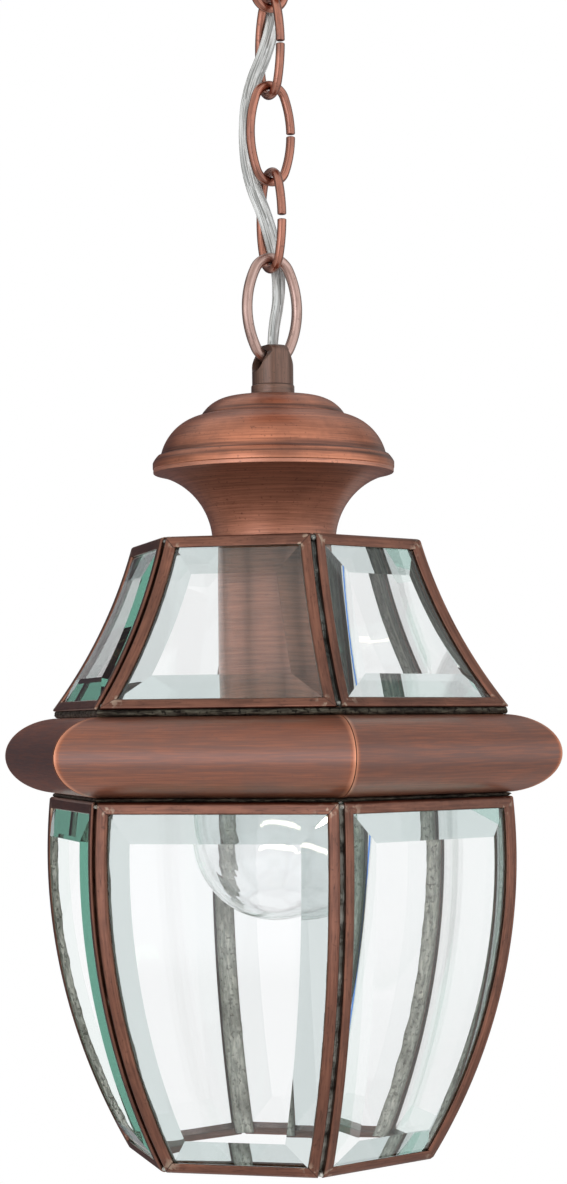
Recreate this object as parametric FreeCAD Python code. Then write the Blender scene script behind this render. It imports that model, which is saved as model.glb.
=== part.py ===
"""Hexagonal hanging lantern: bent bevelled glass in soldered copper frames, on a chain with its lamp cord.

Millimetres, +Z up. The origin is on the ceiling, in the middle of the mounting strap, and the lantern hangs
below it. A flat panel of the hexagon faces -Y.
"""
import FreeCAD
import Part
import math
import os

from FreeCAD import Vector

# Ceiling fitting
canopy_radius = 63.5
canopy_depth = 22.0
canopy_lip = 3.5
canopy_flat_radius = 16.0
canopy_sheet = 1.2
canopy_bow_out = 0.58
canopy_bow_down = 0.74
strap_width = 19.0
strap_thickness = 2.0
strap_slot_spacing = 88.9
strap_slot_length = 12.0
strap_slot_width = 4.8
strap_end_margin = 3.55
strap_length = strap_slot_spacing + strap_slot_length + 2.0 * strap_end_margin
loop_stem_radius = 8.0
loop_stem_length = 18.0
loop_stem_past_collar = 1.0
loop_weld = 0.5
loop_wire_radius = 2.2
loop_height = 24.0
loop_width = 17.0
loop_end_radius = 7.0
canopy_collar_radius = 12.5
canopy_collar_height = 7.0

# Threaded stems and their nuts
stem_radius = 4.8
stem_bore_radius = 3.3
stem_clearance = 0.1
nut_across_flats = 14.3
nut_height = 4.5
canopy_stem_past = 2.0
canopy_stem_recess = 0.4

# Chain and hanging ring, measured to the middle of the wire
link_wire_radius = 1.6
link_height = 34.6
link_width = 16.1
link_end_radius = 6.0
link_split = 0.8
lowest_link_split = 1.5
ring_wire_radius = 1.9
ring_height = 36.1
ring_width = 19.8
ring_end_radius = 7.4
chain_play = 0.3
chain_turn = 43.0

# Knuckle on top of the lantern, and its collar
knuckle_radius = 7.3
knuckle_height = 14.0
knuckle_flat = 3.3
knuckle_top_round = 3.2
knuckle_eye_radius = 3.6
knuckle_eye_drop = 0.4
knuckle_above_eye = 4.9
collar_radius = 7.65
collar_height = 5.0
collar_sleeve_radius = 6.6
collar_sleeve_length = 10.0
knuckle_stub = 6.0
knuckle_shoulder_high = 2.4
knuckle_shoulder_low = 3.0

# Cap, a spun sheet with two domes over a rim
cap_sheet = 1.0
cap_rim_radius = 42.6
cap_rim_height = 4.8
cap_rim_lip = 1.6
cap_rim_bow = 0.9
cap_rim_bow_rise = 3.6
cap_rim_shelf = 0.8
cap_dome_radius = 39.8
cap_dome_height = 14.2
cap_dome_bow_out = 0.66
cap_dome_bow_up = 0.65
cap_tier_radius = 25.2
cap_tier_height = 5.4
cap_tier_top_radius = 9.5
cap_tier_step = 0.5
cap_tier_bow_out = 0.68
cap_tier_bow_up = 0.64

# Neck, a spun trumpet between roof and cap
neck_base_radius = 21.7
neck_round = 25.0
neck_flange = 1.4
neck_flange_width = 3.0
neck_flange_inset = 0.2

# Glazed panels: apothems are from the axis to the outer face of a frame
roof_low_apothem = 72.7
roof_high_apothem = 46.1
roof_height = 58.5
roof_bulge = -2.9
roof_plate_thickness = 1.2
roof_plate_clearance = 0.1
body_low_apothem = 47.7
body_high_apothem = 73.4
body_height = 124.3
body_bulge = 9.4

# Rails of the frames, which are U channels
rail_face = 4.1
rail_lip = 2.9
rail_depth = 3.3
rail_flange = 0.8
rail_web = 1.6
rail_round = 0.5
groove = 1.6

# Bevelled glass
glass_thickness = 4.2
glass_edge = 1.5
glass_bevel = 9.5
glass_clearance = 0.1

# Belt moulding between roof and body
belt_apothem = 87.9
belt_height = 26.8
belt_nose_depth = 18.5
belt_inner_apothem = 65.0
belt_sheet = 1.3
belt_mitre_gap = 0.3

# Solder: the seams inside the corners, and the beads above and below the belt
seam_width = 7.6
seam_thickness = 1.2
seam_depth_in_groove = 2.4
roof_bead_height = 2.4
body_bead_height = 1.2
bead_width = 4.2
bead_setback = 1.2

# Lamp holder
tube_radius = 19.6
tube_sheet = 1.0
tube_length = 62.5
socket_radius = 17.0
socket_skirt = 36.0
socket_boss_radius = 9.0
socket_boss_height = 5.0
socket_floor = 4.5
socket_drop = 13.5
shell_radius = 14.4
shell_sheet = 0.8
shell_depth = 24.0
shell_contact_gap = 1.0
stem_in_socket = 8.0

# Clear bulb
bulb_radius = 29.0
bulb_length = 108.0
bulb_wall = 0.8
bulb_shoulder_angle = 30.0
bulb_cone_length = 13.2
bulb_neck_radius = 14.6
bulb_neck_straight = 8.0
bulb_seal_radius = 12.3
bulb_seal_length = 5.0
bulb_base_radius = 13.3
bulb_base_height = 24.0
bulb_base_shoulder = 4.0
bulb_contact_height = 1.2
bulb_contact_radius = 5.0
bulb_stem_radius = 2.6
bulb_button_radius = 3.6
bulb_flare_bow = 0.25
bulb_flare_rise = 1.2
bulb_filament_half_span = 9.0
bulb_filament_drop = 4.0
bulb_filament_radius = 0.5
bulb_filament_level = 6.0

# Lamp cord. Each point of its route is (along the flat links, across them, height), and the route passes
# through the first upright link, beside the flat one below it, through the next and down inside the ring.
cord_radius = 2.3
cord_hole_clearance = 0.4
cord_route = [
    (0.0, 0.0, -25.5),
    (0.2, 0.2, -36.5),
    (5.2, 5.2, -50.5),
    (4.4, 6.2, -67.0),
    (5.6, 5.4, -83.0),
    (0.3, 2.3, -98.5),
    (-5.6, 5.4, -114.0),
    (-7.2, 5.8, -130.0),
    (-5.6, 5.4, -146.0),
    (-0.2, 2.6, -161.0),
    (5.6, 5.6, -176.5),
    (4.0, 2.4, -189.0),
    (0.5, 0.3, -200.0),
    (0.0, 0.0, -207.6),
]
cord_bend_share = 0.45

SIDES = 6
HALF_SIDE = math.radians(180.0 / SIDES)
UP = Vector(0, 0, 1)
CENTRE = Vector(0, 0, 0)
REACH = 2.0 * belt_apothem
ON_FACE = 1e-4

# Levels from the ceiling down to the point that the lantern hangs from
canopy_stem_low = -canopy_depth - canopy_stem_past
loop_stem_low = -canopy_depth - canopy_collar_height - loop_stem_past_collar
loop_low = loop_stem_low - loop_weld - loop_height
first_link_high = loop_low + loop_wire_radius + link_wire_radius + chain_play
link_pitch = link_height - 2.0 * link_wire_radius - chain_play
link_highs = [first_link_high - step * link_pitch for step in range(4)]
ring_high = link_highs[-1] - link_height + link_wire_radius + ring_wire_radius + chain_play
hang_level = ring_high - ring_height

# Levels of the lantern, from the knuckle down
knuckle_high = hang_level + knuckle_above_eye
collar_high = knuckle_high - knuckle_height
cap_high = collar_high - collar_height
cap_rim_high = cap_high - cap_tier_height - cap_tier_step - cap_dome_height
cap_low = cap_rim_high - cap_rim_height
neck_rim_radius = cap_rim_radius - neck_flange_inset
neck_low = cap_low - neck_flange - math.sqrt(
    neck_round ** 2 - (neck_base_radius + neck_round - neck_rim_radius) ** 2
)
plate_low = neck_low - roof_plate_thickness
roof_low = neck_low - roof_height
belt_high = roof_low - roof_bead_height
belt_low = belt_high - belt_height
body_high = belt_low - body_bead_height
body_low = body_high - body_height

# Levels of the lamp holder and its bulb
socket_high = plate_low - tube_sheet - socket_drop + socket_boss_height
socket_shoulder = socket_high - socket_boss_height
stem_low = socket_high - stem_in_socket
socket_ceiling = stem_low - socket_floor
bulb_top = socket_ceiling - shell_sheet
bulb_low = bulb_top - bulb_length


def point(radius, level):
    """A point of a profile in the plane of X and Z."""
    return Vector(radius, 0, level)


def arc_steps(centre, radius, start, end):
    """The middle and end of an arc about a profile point, with its angles in degrees."""
    middle = 0.5 * (start + end)
    return tuple(
        (centre[0] + radius * math.cos(math.radians(a)), centre[1] + radius * math.sin(math.radians(a)))
        for a in (middle, end)
    )


def profile_edges(start, steps):
    """Edges of an open profile: a step is the point a line goes to, or the middle and end of an arc."""
    edges = []
    here = point(*start)
    for step in steps:
        if isinstance(step[0], tuple):
            middle, end = (point(*place) for place in step)
            edges.append(Part.Arc(here, middle, end).toShape())
        else:
            end = point(*step)
            edges.append(Part.LineSegment(here, end).toShape())
        here = end
    return edges


def turned(start, steps):
    """A solid turned about the Z axis from a closed profile, which returns to its start by a line."""
    wire = Part.Wire(profile_edges(start, list(steps) + [start]))
    return Part.Face(wire).revolve(CENTRE, UP, 360)


def ring_solid(outer, inner, low, high):
    """A round washer or sleeve on the axis."""
    return Part.makeCylinder(outer, high - low, Vector(0, 0, low)).cut(
        Part.makeCylinder(inner, high - low, Vector(0, 0, low))
    )


def prism(corners, low, high):
    """An upright prism on a polygon of (x, y) corners."""
    loop = [Vector(x, y, low) for x, y in corners]
    return Part.Face(Part.makePolygon(loop + loop[:1])).extrude(Vector(0, 0, high - low))


def hexagon(apothem, turn=0.0):
    """Corners of a hexagon on the axis, one of them on +X when turn is 0."""
    radius = apothem / math.cos(HALF_SIDE)
    angles = [turn + 2.0 * HALF_SIDE * step for step in range(SIDES)]
    return [(radius * math.cos(a), radius * math.sin(a)) for a in angles]


def copies(shape):
    """The shape of the front panel, repeated on all sides of the lantern."""
    for step in range(SIDES):
        copy = shape.copy()
        copy.rotate(CENTRE, UP, step * 360.0 / SIDES)
        yield copy


class Panel:
    """One bent side of the lantern, seen end on: a circular arc between two levels.

    A depth is measured square to the panel, inwards from the outer face of its frame.
    """

    def __init__(self, low, height, low_apothem, high_apothem, bulge):
        self.low = low
        self.high = low + height
        chord = math.hypot(high_apothem - low_apothem, height)
        self.side = math.copysign(1.0, bulge)
        self.radius = chord ** 2 / (8.0 * abs(bulge)) + abs(bulge) / 2.0
        reach = self.side * (self.radius - abs(bulge)) / chord
        self.centre = 0.5 * (low_apothem + high_apothem) - reach * height
        self.centre_level = low + 0.5 * height + reach * (high_apothem - low_apothem)

    def apothem(self, level, depth):
        """Distance from the axis to the panel at a level and a depth."""
        radius = self.radius - self.side * depth
        return self.centre + self.side * math.sqrt(radius ** 2 - (level - self.centre_level) ** 2)

    def slope_cosine(self, level):
        """Height gained for each millimetre along the panel's outer face."""
        return math.sqrt(1.0 - ((level - self.centre_level) / self.radius) ** 2)

    def section(self, depth_out, depth_in, low, high):
        """Wire around the band between two depths and two levels, in the plane of Y and Z."""
        levels = (low, 0.5 * (low + high), high)
        outer = [Vector(0, -self.apothem(level, depth_out), level) for level in levels]
        inner = [Vector(0, -self.apothem(level, depth_in), level) for level in levels]
        return Part.Wire([
            Part.Arc(outer[0], outer[1], outer[2]).toShape(),
            Part.LineSegment(outer[2], inner[2]).toShape(),
            Part.Arc(inner[2], inner[1], inner[0]).toShape(),
            Part.LineSegment(inner[0], outer[0]).toShape(),
        ])

    def band(self, depth_out, depth_in, low, high, inset):
        """The band between two depths and levels, cut off at an inset from both corner planes."""
        across = Part.Face(self.section(depth_out, depth_in, low, high))
        across.translate(Vector(-REACH, 0, 0))
        return across.extrude(Vector(2.0 * REACH, 0, 0)).common(wedge(inset, low, high))


def roof_panel():
    """The front panel of the roof."""
    return Panel(roof_low, roof_height, roof_low_apothem, roof_high_apothem, roof_bulge)


def wedge(inset, low, high):
    """The space between the corner planes of the front panel, each moved in by an inset."""
    apex = inset / math.sin(HALF_SIDE)
    half = (REACH - apex) * math.tan(HALF_SIDE)
    return prism([(0.0, -apex), (-half, -REACH), (half, -REACH)], low, high)


def oblique_section(wire, inset, side):
    """A section in the plane of Y and Z, slid along X onto a corner plane that is moved in by an inset."""
    slide = FreeCAD.Matrix()
    slide.A12 = -side * math.tan(HALF_SIDE)
    slide.A14 = -side * inset / math.cos(HALF_SIDE)
    return Part.Wire(wire.transformGeometry(slide).Edges)


def opening(panel, margin, depth_out, depth_in):
    """The space between two depths that stands a margin in from all four edges of a panel's frame."""
    return panel.band(
        depth_out, depth_in,
        panel.low + margin * panel.slope_cosine(panel.low),
        panel.high - margin * panel.slope_cosine(panel.high),
        groove / 2.0 + margin * math.cos(HALF_SIDE),
    )


def panel_frame(panel):
    """The frame of one panel: a U channel bent to the panel's curve and mitred into a loop, with a narrower
    lip inside than outside."""
    slot_in = rail_flange + glass_edge + 2.0 * glass_clearance
    slot_middle = 0.5 * (rail_flange + slot_in)
    channel = panel.band(0.0, rail_depth, panel.low, panel.high, groove / 2.0)
    channel = channel.cut(opening(panel, rail_face, -rail_depth, slot_middle))
    channel = channel.cut(opening(panel, rail_web, rail_flange, slot_in))
    channel = channel.cut(opening(panel, rail_lip, slot_middle, 2.0 * rail_depth))
    return channel.makeFillet(rail_round, front_edges(channel, panel))


def front_edges(channel, panel):
    """The edges of a frame that lie on its outer face."""
    found = []
    for edge in channel.Edges:
        ends = [edge.valueAt(edge.FirstParameter), edge.valueAt(edge.LastParameter)]
        middle = edge.valueAt(0.5 * (edge.FirstParameter + edge.LastParameter))
        if all(abs(-place.y - panel.apothem(place.z, 0.0)) < ON_FACE for place in ends + [middle]):
            found.append(edge)
    return found


def panel_glass(panel):
    """The glass of one panel: bent, full thickness in the middle, bevelled outside along all four edges down
    to a thin land that lies in the channel."""
    depth_in = rail_flange + glass_clearance + glass_edge
    depths = (depth_in - glass_edge, depth_in - glass_edge, depth_in - glass_thickness)
    margins = (rail_web + glass_clearance, rail_face, rail_face + glass_bevel)
    insets = [groove / 2.0 + margin * math.cos(HALF_SIDE) for margin in margins]
    low_rise = panel.slope_cosine(panel.low)
    high_rise = panel.slope_cosine(panel.high)
    lows = [panel.low + margin * low_rise for margin in margins]
    highs = [panel.high - margin * high_rise for margin in margins]
    walls = [panel.section(depth, depth_in, lows[0], highs[0]) for depth in depths]
    left = [oblique_section(wall, inset, -1.0) for wall, inset in zip(walls, insets)]
    right = [oblique_section(wall, inset, 1.0) for wall, inset in zip(walls, insets)]
    pane = Part.makeLoft(left + right[::-1], True, True)
    for levels in (lows, highs):
        pane = pane.cut(end_bevel(panel, depths, levels))
    return pane


def end_bevel(panel, depths, levels):
    """What grinding takes off the outside of a pane along its top or bottom edge, given the depth and level
    of the edge, of the land's inner side and of the bevel's inner side."""
    edge, land, foot = (
        Vector(-REACH, -panel.apothem(level, depth), level) for depth, level in zip(depths, levels)
    )
    past = edge + (edge - land)
    outside = Vector(0, -4.0 * glass_bevel, 0)
    loop = [foot, land, past, past + outside, foot + outside]
    return Part.Face(Part.makePolygon(loop + loop[:1])).extrude(Vector(2.0 * REACH, 0, 0))


def corner_seam(panel):
    """Solder in one corner: a flat strip over the inside of the joint, and what ran into the groove."""
    low = panel.low
    high = panel.high
    strip = panel.band(rail_depth, rail_depth + seam_thickness, low, high, 0.0)
    strip = strip.cut(wedge(seam_width / 2.0, low, high))
    filler = panel.band(seam_depth_in_groove, rail_depth, low, high, 0.0)
    filler = filler.cut(wedge(groove / 2.0, low, high))
    right = Part.makeBox(REACH, REACH, high - low, Vector(0, -REACH, low))
    half = strip.fuse(filler).common(right)
    other = half.mirror(CENTRE, Vector(1, 0, 0))
    other.rotate(CENTRE, UP, 360.0 / SIDES)
    return half.fuse(other).removeSplitter()


def solder_bead(apothem, low, high):
    """The bead of solder between the belt and the frames that stand on it or hang under it."""
    outer = prism(hexagon(apothem - bead_setback), low, high)
    return outer.cut(prism(hexagon(apothem - bead_setback - bead_width), low, high))


def half_oval(middle, depth, half_height):
    """Edge of the outer half of a lying oval in the plane of X and Z, from its lowest point to its highest."""
    nose, top = point(middle[0] + depth, middle[1]), point(middle[0], middle[1] + half_height)
    oval = Part.Ellipse(nose, top, point(*middle))
    return Part.ArcOfEllipse(oval, -math.pi / 2.0, math.pi / 2.0).toShape()


def belt_length():
    """One mitred length of the half-oval belt moulding, a folded sheet that is open at the back."""
    half_height = belt_height / 2.0
    middle = (belt_apothem - belt_nose_depth, 0.5 * (belt_low + belt_high))
    inner_low, inner_high = belt_low + belt_sheet, belt_high - belt_sheet
    wire = Part.Wire([
        *profile_edges((belt_inner_apothem, belt_low), [(middle[0], belt_low)]),
        half_oval(middle, belt_nose_depth, half_height),
        *profile_edges((middle[0], belt_high), [
            (belt_inner_apothem, belt_high),
            (belt_inner_apothem, inner_high),
            (middle[0], inner_high),
        ]),
        half_oval(middle, belt_nose_depth - belt_sheet, half_height - belt_sheet),
        *profile_edges((middle[0], inner_low), [
            (belt_inner_apothem, inner_low),
            (belt_inner_apothem, belt_low),
        ]),
    ])
    across = Part.Face(wire)
    across.rotate(CENTRE, UP, -90)
    across.translate(Vector(-REACH, 0, 0))
    return across.extrude(Vector(2.0 * REACH, 0, 0)).common(wedge(belt_mitre_gap / 2.0, belt_low, belt_high))


def oval_edges(height, width, end_radius, high, split):
    """Edges of an upright oval of four tangent arcs in the plane of X and Z, from one side of a split
    in its +X side round to the other. With no split it closes."""
    half_width = width / 2.0
    end_offset = height / 2.0 - end_radius
    side_radius = (half_width ** 2 + end_offset ** 2 - end_radius ** 2) / (2.0 * (half_width - end_radius))
    side_centre = half_width - side_radius
    lean = math.degrees(math.atan2(end_offset, -side_centre))
    middle = high - height / 2.0
    gap = math.degrees(split / 2.0 / side_radius)
    right = (side_centre, middle)
    start = (right[0] + side_radius * math.cos(math.radians(gap)),
             right[1] + side_radius * math.sin(math.radians(gap)))
    return profile_edges(start, [
        arc_steps(right, side_radius, gap, lean),
        arc_steps((0.0, middle + end_offset), end_radius, lean, 180.0 - lean),
        arc_steps((-side_centre, middle), side_radius, 180.0 - lean, 180.0 + lean),
        arc_steps((0.0, middle - end_offset), end_radius, 180.0 + lean, 360.0 - lean),
        arc_steps(right, side_radius, -lean, -gap),
    ])


def swept_wire(edges, radius):
    """A round wire along a path of tangent edges."""
    path = Part.Wire(edges)
    first = edges[0]
    start = first.valueAt(first.FirstParameter)
    heading = first.tangentAt(first.FirstParameter)
    section = Part.Wire(Part.makeCircle(radius, start, heading))
    return path.makePipeShell([section], True, False)


def chain_link(high, turn, split):
    """One link: a rod bent into an oval, with its two ends left just apart on one side."""
    link = swept_wire(oval_edges(link_height, link_width, link_end_radius, high, split), link_wire_radius)
    link.rotate(CENTRE, UP, turn)
    return link


def closed_ring(height, width, end_radius, high, wire_radius):
    """An oval of round wire with no split."""
    return swept_wire(oval_edges(height, width, end_radius, high, 0.0), wire_radius)


def hex_nut(bore, low):
    """A thin hexagon nut on the axis."""
    return prism(hexagon(nut_across_flats / 2.0), low, low + nut_height).cut(
        Part.makeCylinder(bore, nut_height, Vector(0, 0, low))
    )


def mounting_strap():
    """A flat bar across the ceiling box, with a slot at each end and a hole for the stem."""
    strap = Part.makeBox(
        strap_length, strap_width, strap_thickness,
        Vector(-strap_length / 2.0, -strap_width / 2.0, -strap_thickness),
    )
    straight = strap_slot_length - strap_slot_width
    for middle in (-strap_slot_spacing / 2.0, strap_slot_spacing / 2.0):
        slot = Part.makeBox(
            straight, strap_slot_width, strap_thickness,
            Vector(middle - straight / 2.0, -strap_slot_width / 2.0, -strap_thickness),
        )
        for end in (-straight / 2.0, straight / 2.0):
            slot = slot.fuse(Part.makeCylinder(
                strap_slot_width / 2.0, strap_thickness, Vector(middle + end, 0, -strap_thickness)
            ))
        strap = strap.cut(slot)
    return strap.cut(Part.makeCylinder(
        stem_radius + stem_clearance, strap_thickness, Vector(0, 0, -strap_thickness)
    ))


def ceiling_canopy():
    """A spun dish against the ceiling, domed down to a flat round the loop's stem."""
    hole = loop_stem_radius + 2.0 * stem_clearance
    shoulder = (canopy_radius, -canopy_lip)
    foot = (canopy_flat_radius, -canopy_depth)
    through = (
        foot[0] + canopy_bow_out * (shoulder[0] - foot[0]),
        shoulder[1] + canopy_bow_down * (foot[1] - shoulder[1]),
    )
    sheet = canopy_sheet
    return turned((canopy_radius, 0.0), [
        shoulder,
        (through, foot),
        (hole, -canopy_depth),
        (hole, -canopy_depth + sheet),
        (foot[0], foot[1] + sheet),
        ((through[0] - sheet / 2.0, through[1] + sheet), (shoulder[0] - sheet, shoulder[1])),
        (canopy_radius - sheet, 0.0),
    ])


def canopy_loop():
    """A cast loop with a stem that is bored for the threaded tube above and for the cord below."""
    stem = Part.makeCylinder(loop_stem_radius, loop_stem_length, Vector(0, 0, loop_stem_low))
    loop = closed_ring(loop_height, loop_width, loop_end_radius, loop_low + loop_height, loop_wire_radius)
    loop.rotate(CENTRE, UP, chain_turn + 90.0)
    bore_low = canopy_stem_low
    top = loop_stem_low + loop_stem_length
    cast = stem.fuse(loop)
    cast = cast.cut(Part.makeCylinder(stem_radius + stem_clearance, top - bore_low, Vector(0, 0, bore_low)))
    way_low = loop_stem_low - 2.0 * loop_wire_radius
    return cast.cut(Part.makeCylinder(
        cord_radius + cord_hole_clearance, bore_low - way_low, Vector(0, 0, way_low)
    )).removeSplitter()


def loop_knuckle():
    """The turned barrel that the ring passes through: two flats above sloping shoulders, a cross eye, a
    threaded stub below and a way for the cord down the middle."""
    base = collar_high
    barrel = turned((0.0, base), [
        (knuckle_radius, base),
        (knuckle_radius, knuckle_high - knuckle_top_round),
        arc_steps(
            (knuckle_radius - knuckle_top_round, knuckle_high - knuckle_top_round),
            knuckle_top_round, 0.0, 90.0,
        ),
        (0.0, knuckle_high),
    ])
    block = 4.0 * knuckle_radius
    shoulder_low = hang_level - knuckle_shoulder_low
    for side in (-1.0, 1.0):
        cheek = Part.Face(Part.makePolygon([Vector(side * out, -block / 2.0, level) for out, level in (
            (knuckle_flat, knuckle_high + knuckle_flat),
            (knuckle_flat, hang_level + knuckle_shoulder_high),
            (knuckle_radius, shoulder_low),
            (block, shoulder_low),
            (block, knuckle_high + knuckle_flat),
            (knuckle_flat, knuckle_high + knuckle_flat),
        )]))
        barrel = barrel.cut(cheek.extrude(Vector(0, block, 0)))
    eye = Part.makeCylinder(
        knuckle_eye_radius, block, Vector(-block / 2.0, 0, hang_level - knuckle_eye_drop), Vector(1, 0, 0)
    )
    stub = Part.makeCylinder(stem_radius, knuckle_stub, Vector(0, 0, base - knuckle_stub))
    way = Part.makeCylinder(
        cord_radius + cord_hole_clearance, knuckle_stub + knuckle_height, Vector(0, 0, base - knuckle_stub)
    )
    barrel = barrel.cut(eye).fuse(stub).cut(way)
    barrel.rotate(CENTRE, UP, chain_turn)
    return barrel


def lock_collar():
    """The flanged coupling on the cap: the knuckle's stub screws in from above and the stem from below."""
    bore = stem_radius + stem_clearance
    sleeve_low = cap_high - collar_sleeve_length
    return turned((bore, sleeve_low), [
        (collar_sleeve_radius, sleeve_low),
        (collar_sleeve_radius, cap_high),
        (collar_radius, cap_high),
        (collar_radius, collar_high),
        (bore, collar_high),
    ])


def cap_dome():
    """The cap: a low dome on a larger dome on a rim, spun from one sheet and open below."""
    sheet = cap_sheet
    hole = collar_sleeve_radius + stem_clearance
    dome_high = cap_rim_high + cap_dome_height
    dome_through = (
        cap_tier_radius + cap_dome_bow_out * (cap_dome_radius - cap_tier_radius),
        cap_rim_high + cap_dome_bow_up * cap_dome_height,
    )
    tier_low = dome_high + cap_tier_step
    tier_through = (
        cap_tier_top_radius + cap_tier_bow_out * (cap_tier_radius - cap_tier_top_radius),
        tier_low + cap_tier_bow_up * (cap_high - tier_low),
    )
    ceiling = cap_high - sheet
    return turned((cap_rim_radius, cap_low), [
        (cap_rim_radius, cap_low + cap_rim_lip),
        ((cap_rim_radius - cap_rim_bow, cap_low + cap_rim_bow_rise),
         (cap_dome_radius + cap_rim_shelf, cap_rim_high)),
        (cap_dome_radius, cap_rim_high),
        (dome_through, (cap_tier_radius, dome_high)),
        (cap_tier_radius, tier_low),
        (tier_through, (cap_tier_top_radius, cap_high)),
        (hole, cap_high),
        (hole, ceiling),
        (cap_tier_top_radius, ceiling),
        ((tier_through[0] - sheet / 2.0, tier_through[1] - sheet), (cap_tier_radius - sheet, tier_low)),
        (cap_tier_radius - sheet, dome_high - sheet),
        ((dome_through[0] - sheet * cap_dome_bow_up, dome_through[1] - sheet * cap_dome_bow_up),
         (cap_dome_radius - sheet, cap_rim_high)),
        (cap_dome_radius - sheet, cap_low),
    ])


def neck_flare():
    """The neck: a spun trumpet that widens from the roof plate to the cap's rim."""
    sheet = cap_sheet
    centre = (neck_base_radius + neck_round, neck_low)
    flange = neck_rim_radius - neck_flange_width
    top = math.degrees(math.acos((neck_rim_radius - centre[0]) / neck_round))
    inner_top = math.degrees(math.acos((flange - centre[0]) / (neck_round + sheet)))
    return turned((neck_base_radius, neck_low), [
        arc_steps(centre, neck_round, 180.0, top),
        (neck_rim_radius, cap_low),
        (flange, cap_low),
        (flange, centre[1] + (neck_round + sheet) * math.sin(math.radians(inner_top))),
        arc_steps(centre, neck_round + sheet, inner_top, 180.0),
    ])


def roof_plate():
    """The flat hexagon that closes the roof inside its frames and carries the neck."""
    inner_apothem = roof_panel().apothem(neck_low, rail_depth + seam_thickness)
    plate = prism(hexagon(inner_apothem - roof_plate_clearance), plate_low, neck_low)
    return plate.cut(Part.makeCylinder(
        stem_radius + stem_clearance, roof_plate_thickness, Vector(0, 0, plate_low)
    ))


def socket_tube():
    """The plain tube that hides the lamp holder, closed at the top under the roof plate."""
    low = plate_low - tube_length
    return turned((tube_radius, low), [
        (tube_radius, plate_low),
        (stem_radius + stem_clearance, plate_low),
        (stem_radius + stem_clearance, plate_low - tube_sheet),
        (tube_radius - tube_sheet, plate_low - tube_sheet),
        (tube_radius - tube_sheet, low),
    ])


def lamp_socket():
    """The glazed lamp holder: a skirt round the screw shell under a threaded boss."""
    skirt_low = socket_shoulder - socket_skirt
    bore = stem_radius + stem_clearance
    cavity = shell_radius + stem_clearance
    return turned((socket_radius, skirt_low), [
        (socket_radius, socket_shoulder),
        (socket_boss_radius, socket_shoulder),
        (socket_boss_radius, socket_high),
        (bore, socket_high),
        (bore, stem_low),
        (stem_bore_radius, stem_low),
        (stem_bore_radius, socket_ceiling),
        (cavity, socket_ceiling),
        (cavity, skirt_low),
    ])


def socket_shell():
    """The brass screw shell inside the lamp holder."""
    low = socket_ceiling - shell_depth
    hole = bulb_contact_radius + shell_contact_gap
    return turned((shell_radius, low), [
        (shell_radius, socket_ceiling),
        (hole, socket_ceiling),
        (hole, socket_ceiling - shell_sheet),
        (shell_radius - shell_sheet, socket_ceiling - shell_sheet),
        (shell_radius - shell_sheet, low),
    ])


def bulb_outline(inset):
    """Start and steps of the bulb's outline from its lowest point to its sealed end, moved in by an inset.

    A ball runs into a cone, and the cone by a hollow round into a straight neck.
    """
    tilt = math.radians(bulb_shoulder_angle)
    ball = (0.0, bulb_low + bulb_radius)
    cone_foot = (
        bulb_radius * math.cos(tilt) - bulb_cone_length * math.sin(tilt),
        ball[1] + bulb_radius * math.sin(tilt) + bulb_cone_length * math.cos(tilt),
    )
    hollow = (cone_foot[0] - bulb_neck_radius) / (1.0 - math.cos(tilt))
    hollow_centre = (bulb_neck_radius + hollow, cone_foot[1] + hollow * math.sin(tilt))
    neck_high = hollow_centre[1] + bulb_neck_straight
    base_low = bulb_top - bulb_base_height
    return (0.0, bulb_low + inset), [
        arc_steps(ball, bulb_radius - inset, -90.0, bulb_shoulder_angle),
        (hollow_centre[0] - (hollow + inset) * math.cos(tilt),
         hollow_centre[1] - (hollow + inset) * math.sin(tilt)),
        arc_steps(hollow_centre, hollow + inset, 180.0 + bulb_shoulder_angle, 180.0),
        (bulb_neck_radius - inset, neck_high),
        (bulb_seal_radius - inset, base_low),
        (bulb_seal_radius - inset, base_low + bulb_seal_length),
    ]


def bulb_glass():
    """The clear envelope, blown to one wall thickness and open at the sealed end."""
    start, outside = bulb_outline(0.0)
    inner_start, inside = bulb_outline(bulb_wall)
    outer = profile_edges(start, outside)
    inner = profile_edges(inner_start, inside)
    rim = profile_edges(outside[-1], [inside[-1]])
    pole = profile_edges(inner_start, [start])
    loop = Part.Wire(Part.__sortEdges__(outer + rim + inner + pole))
    return Part.Face(loop).revolve(CENTRE, UP, 360)


def bulb_base():
    """The screw base: a metal cup round the seal, drawn in to a contact at the top."""
    low = bulb_top - bulb_base_height
    shoulder = bulb_top - bulb_base_shoulder
    cavity = bulb_seal_radius + stem_clearance
    cavity_high = low + bulb_seal_length + stem_clearance
    return turned((bulb_base_radius, low), [
        (bulb_base_radius, shoulder),
        (bulb_contact_radius, bulb_top - bulb_contact_height),
        (bulb_contact_radius, bulb_top),
        (0.0, bulb_top),
        (0.0, cavity_high),
        (cavity, cavity_high),
        (cavity, low),
    ])


def filament_level():
    """Height of the filament's ends, in the upper half of the ball."""
    return bulb_low + bulb_radius + bulb_filament_level


def bulb_stem():
    """The glass mount inside the bulb: a flare at the base, a rod and a button that holds the leads."""
    top = bulb_top - bulb_base_height + bulb_seal_length
    flare = bulb_seal_radius - bulb_wall - 2.0 * stem_clearance
    press = top - 2.0 * flare
    low = filament_level() + 2.0 * bulb_stem_radius
    return turned((0.0, low), [
        (bulb_button_radius, low),
        (bulb_button_radius, low + bulb_stem_radius),
        (bulb_stem_radius, low + 2.0 * bulb_stem_radius),
        (bulb_stem_radius, press),
        ((bulb_stem_radius + bulb_flare_bow * (flare - bulb_stem_radius), press + bulb_flare_rise * flare),
         (flare, top)),
        (0.0, top),
    ])


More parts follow.
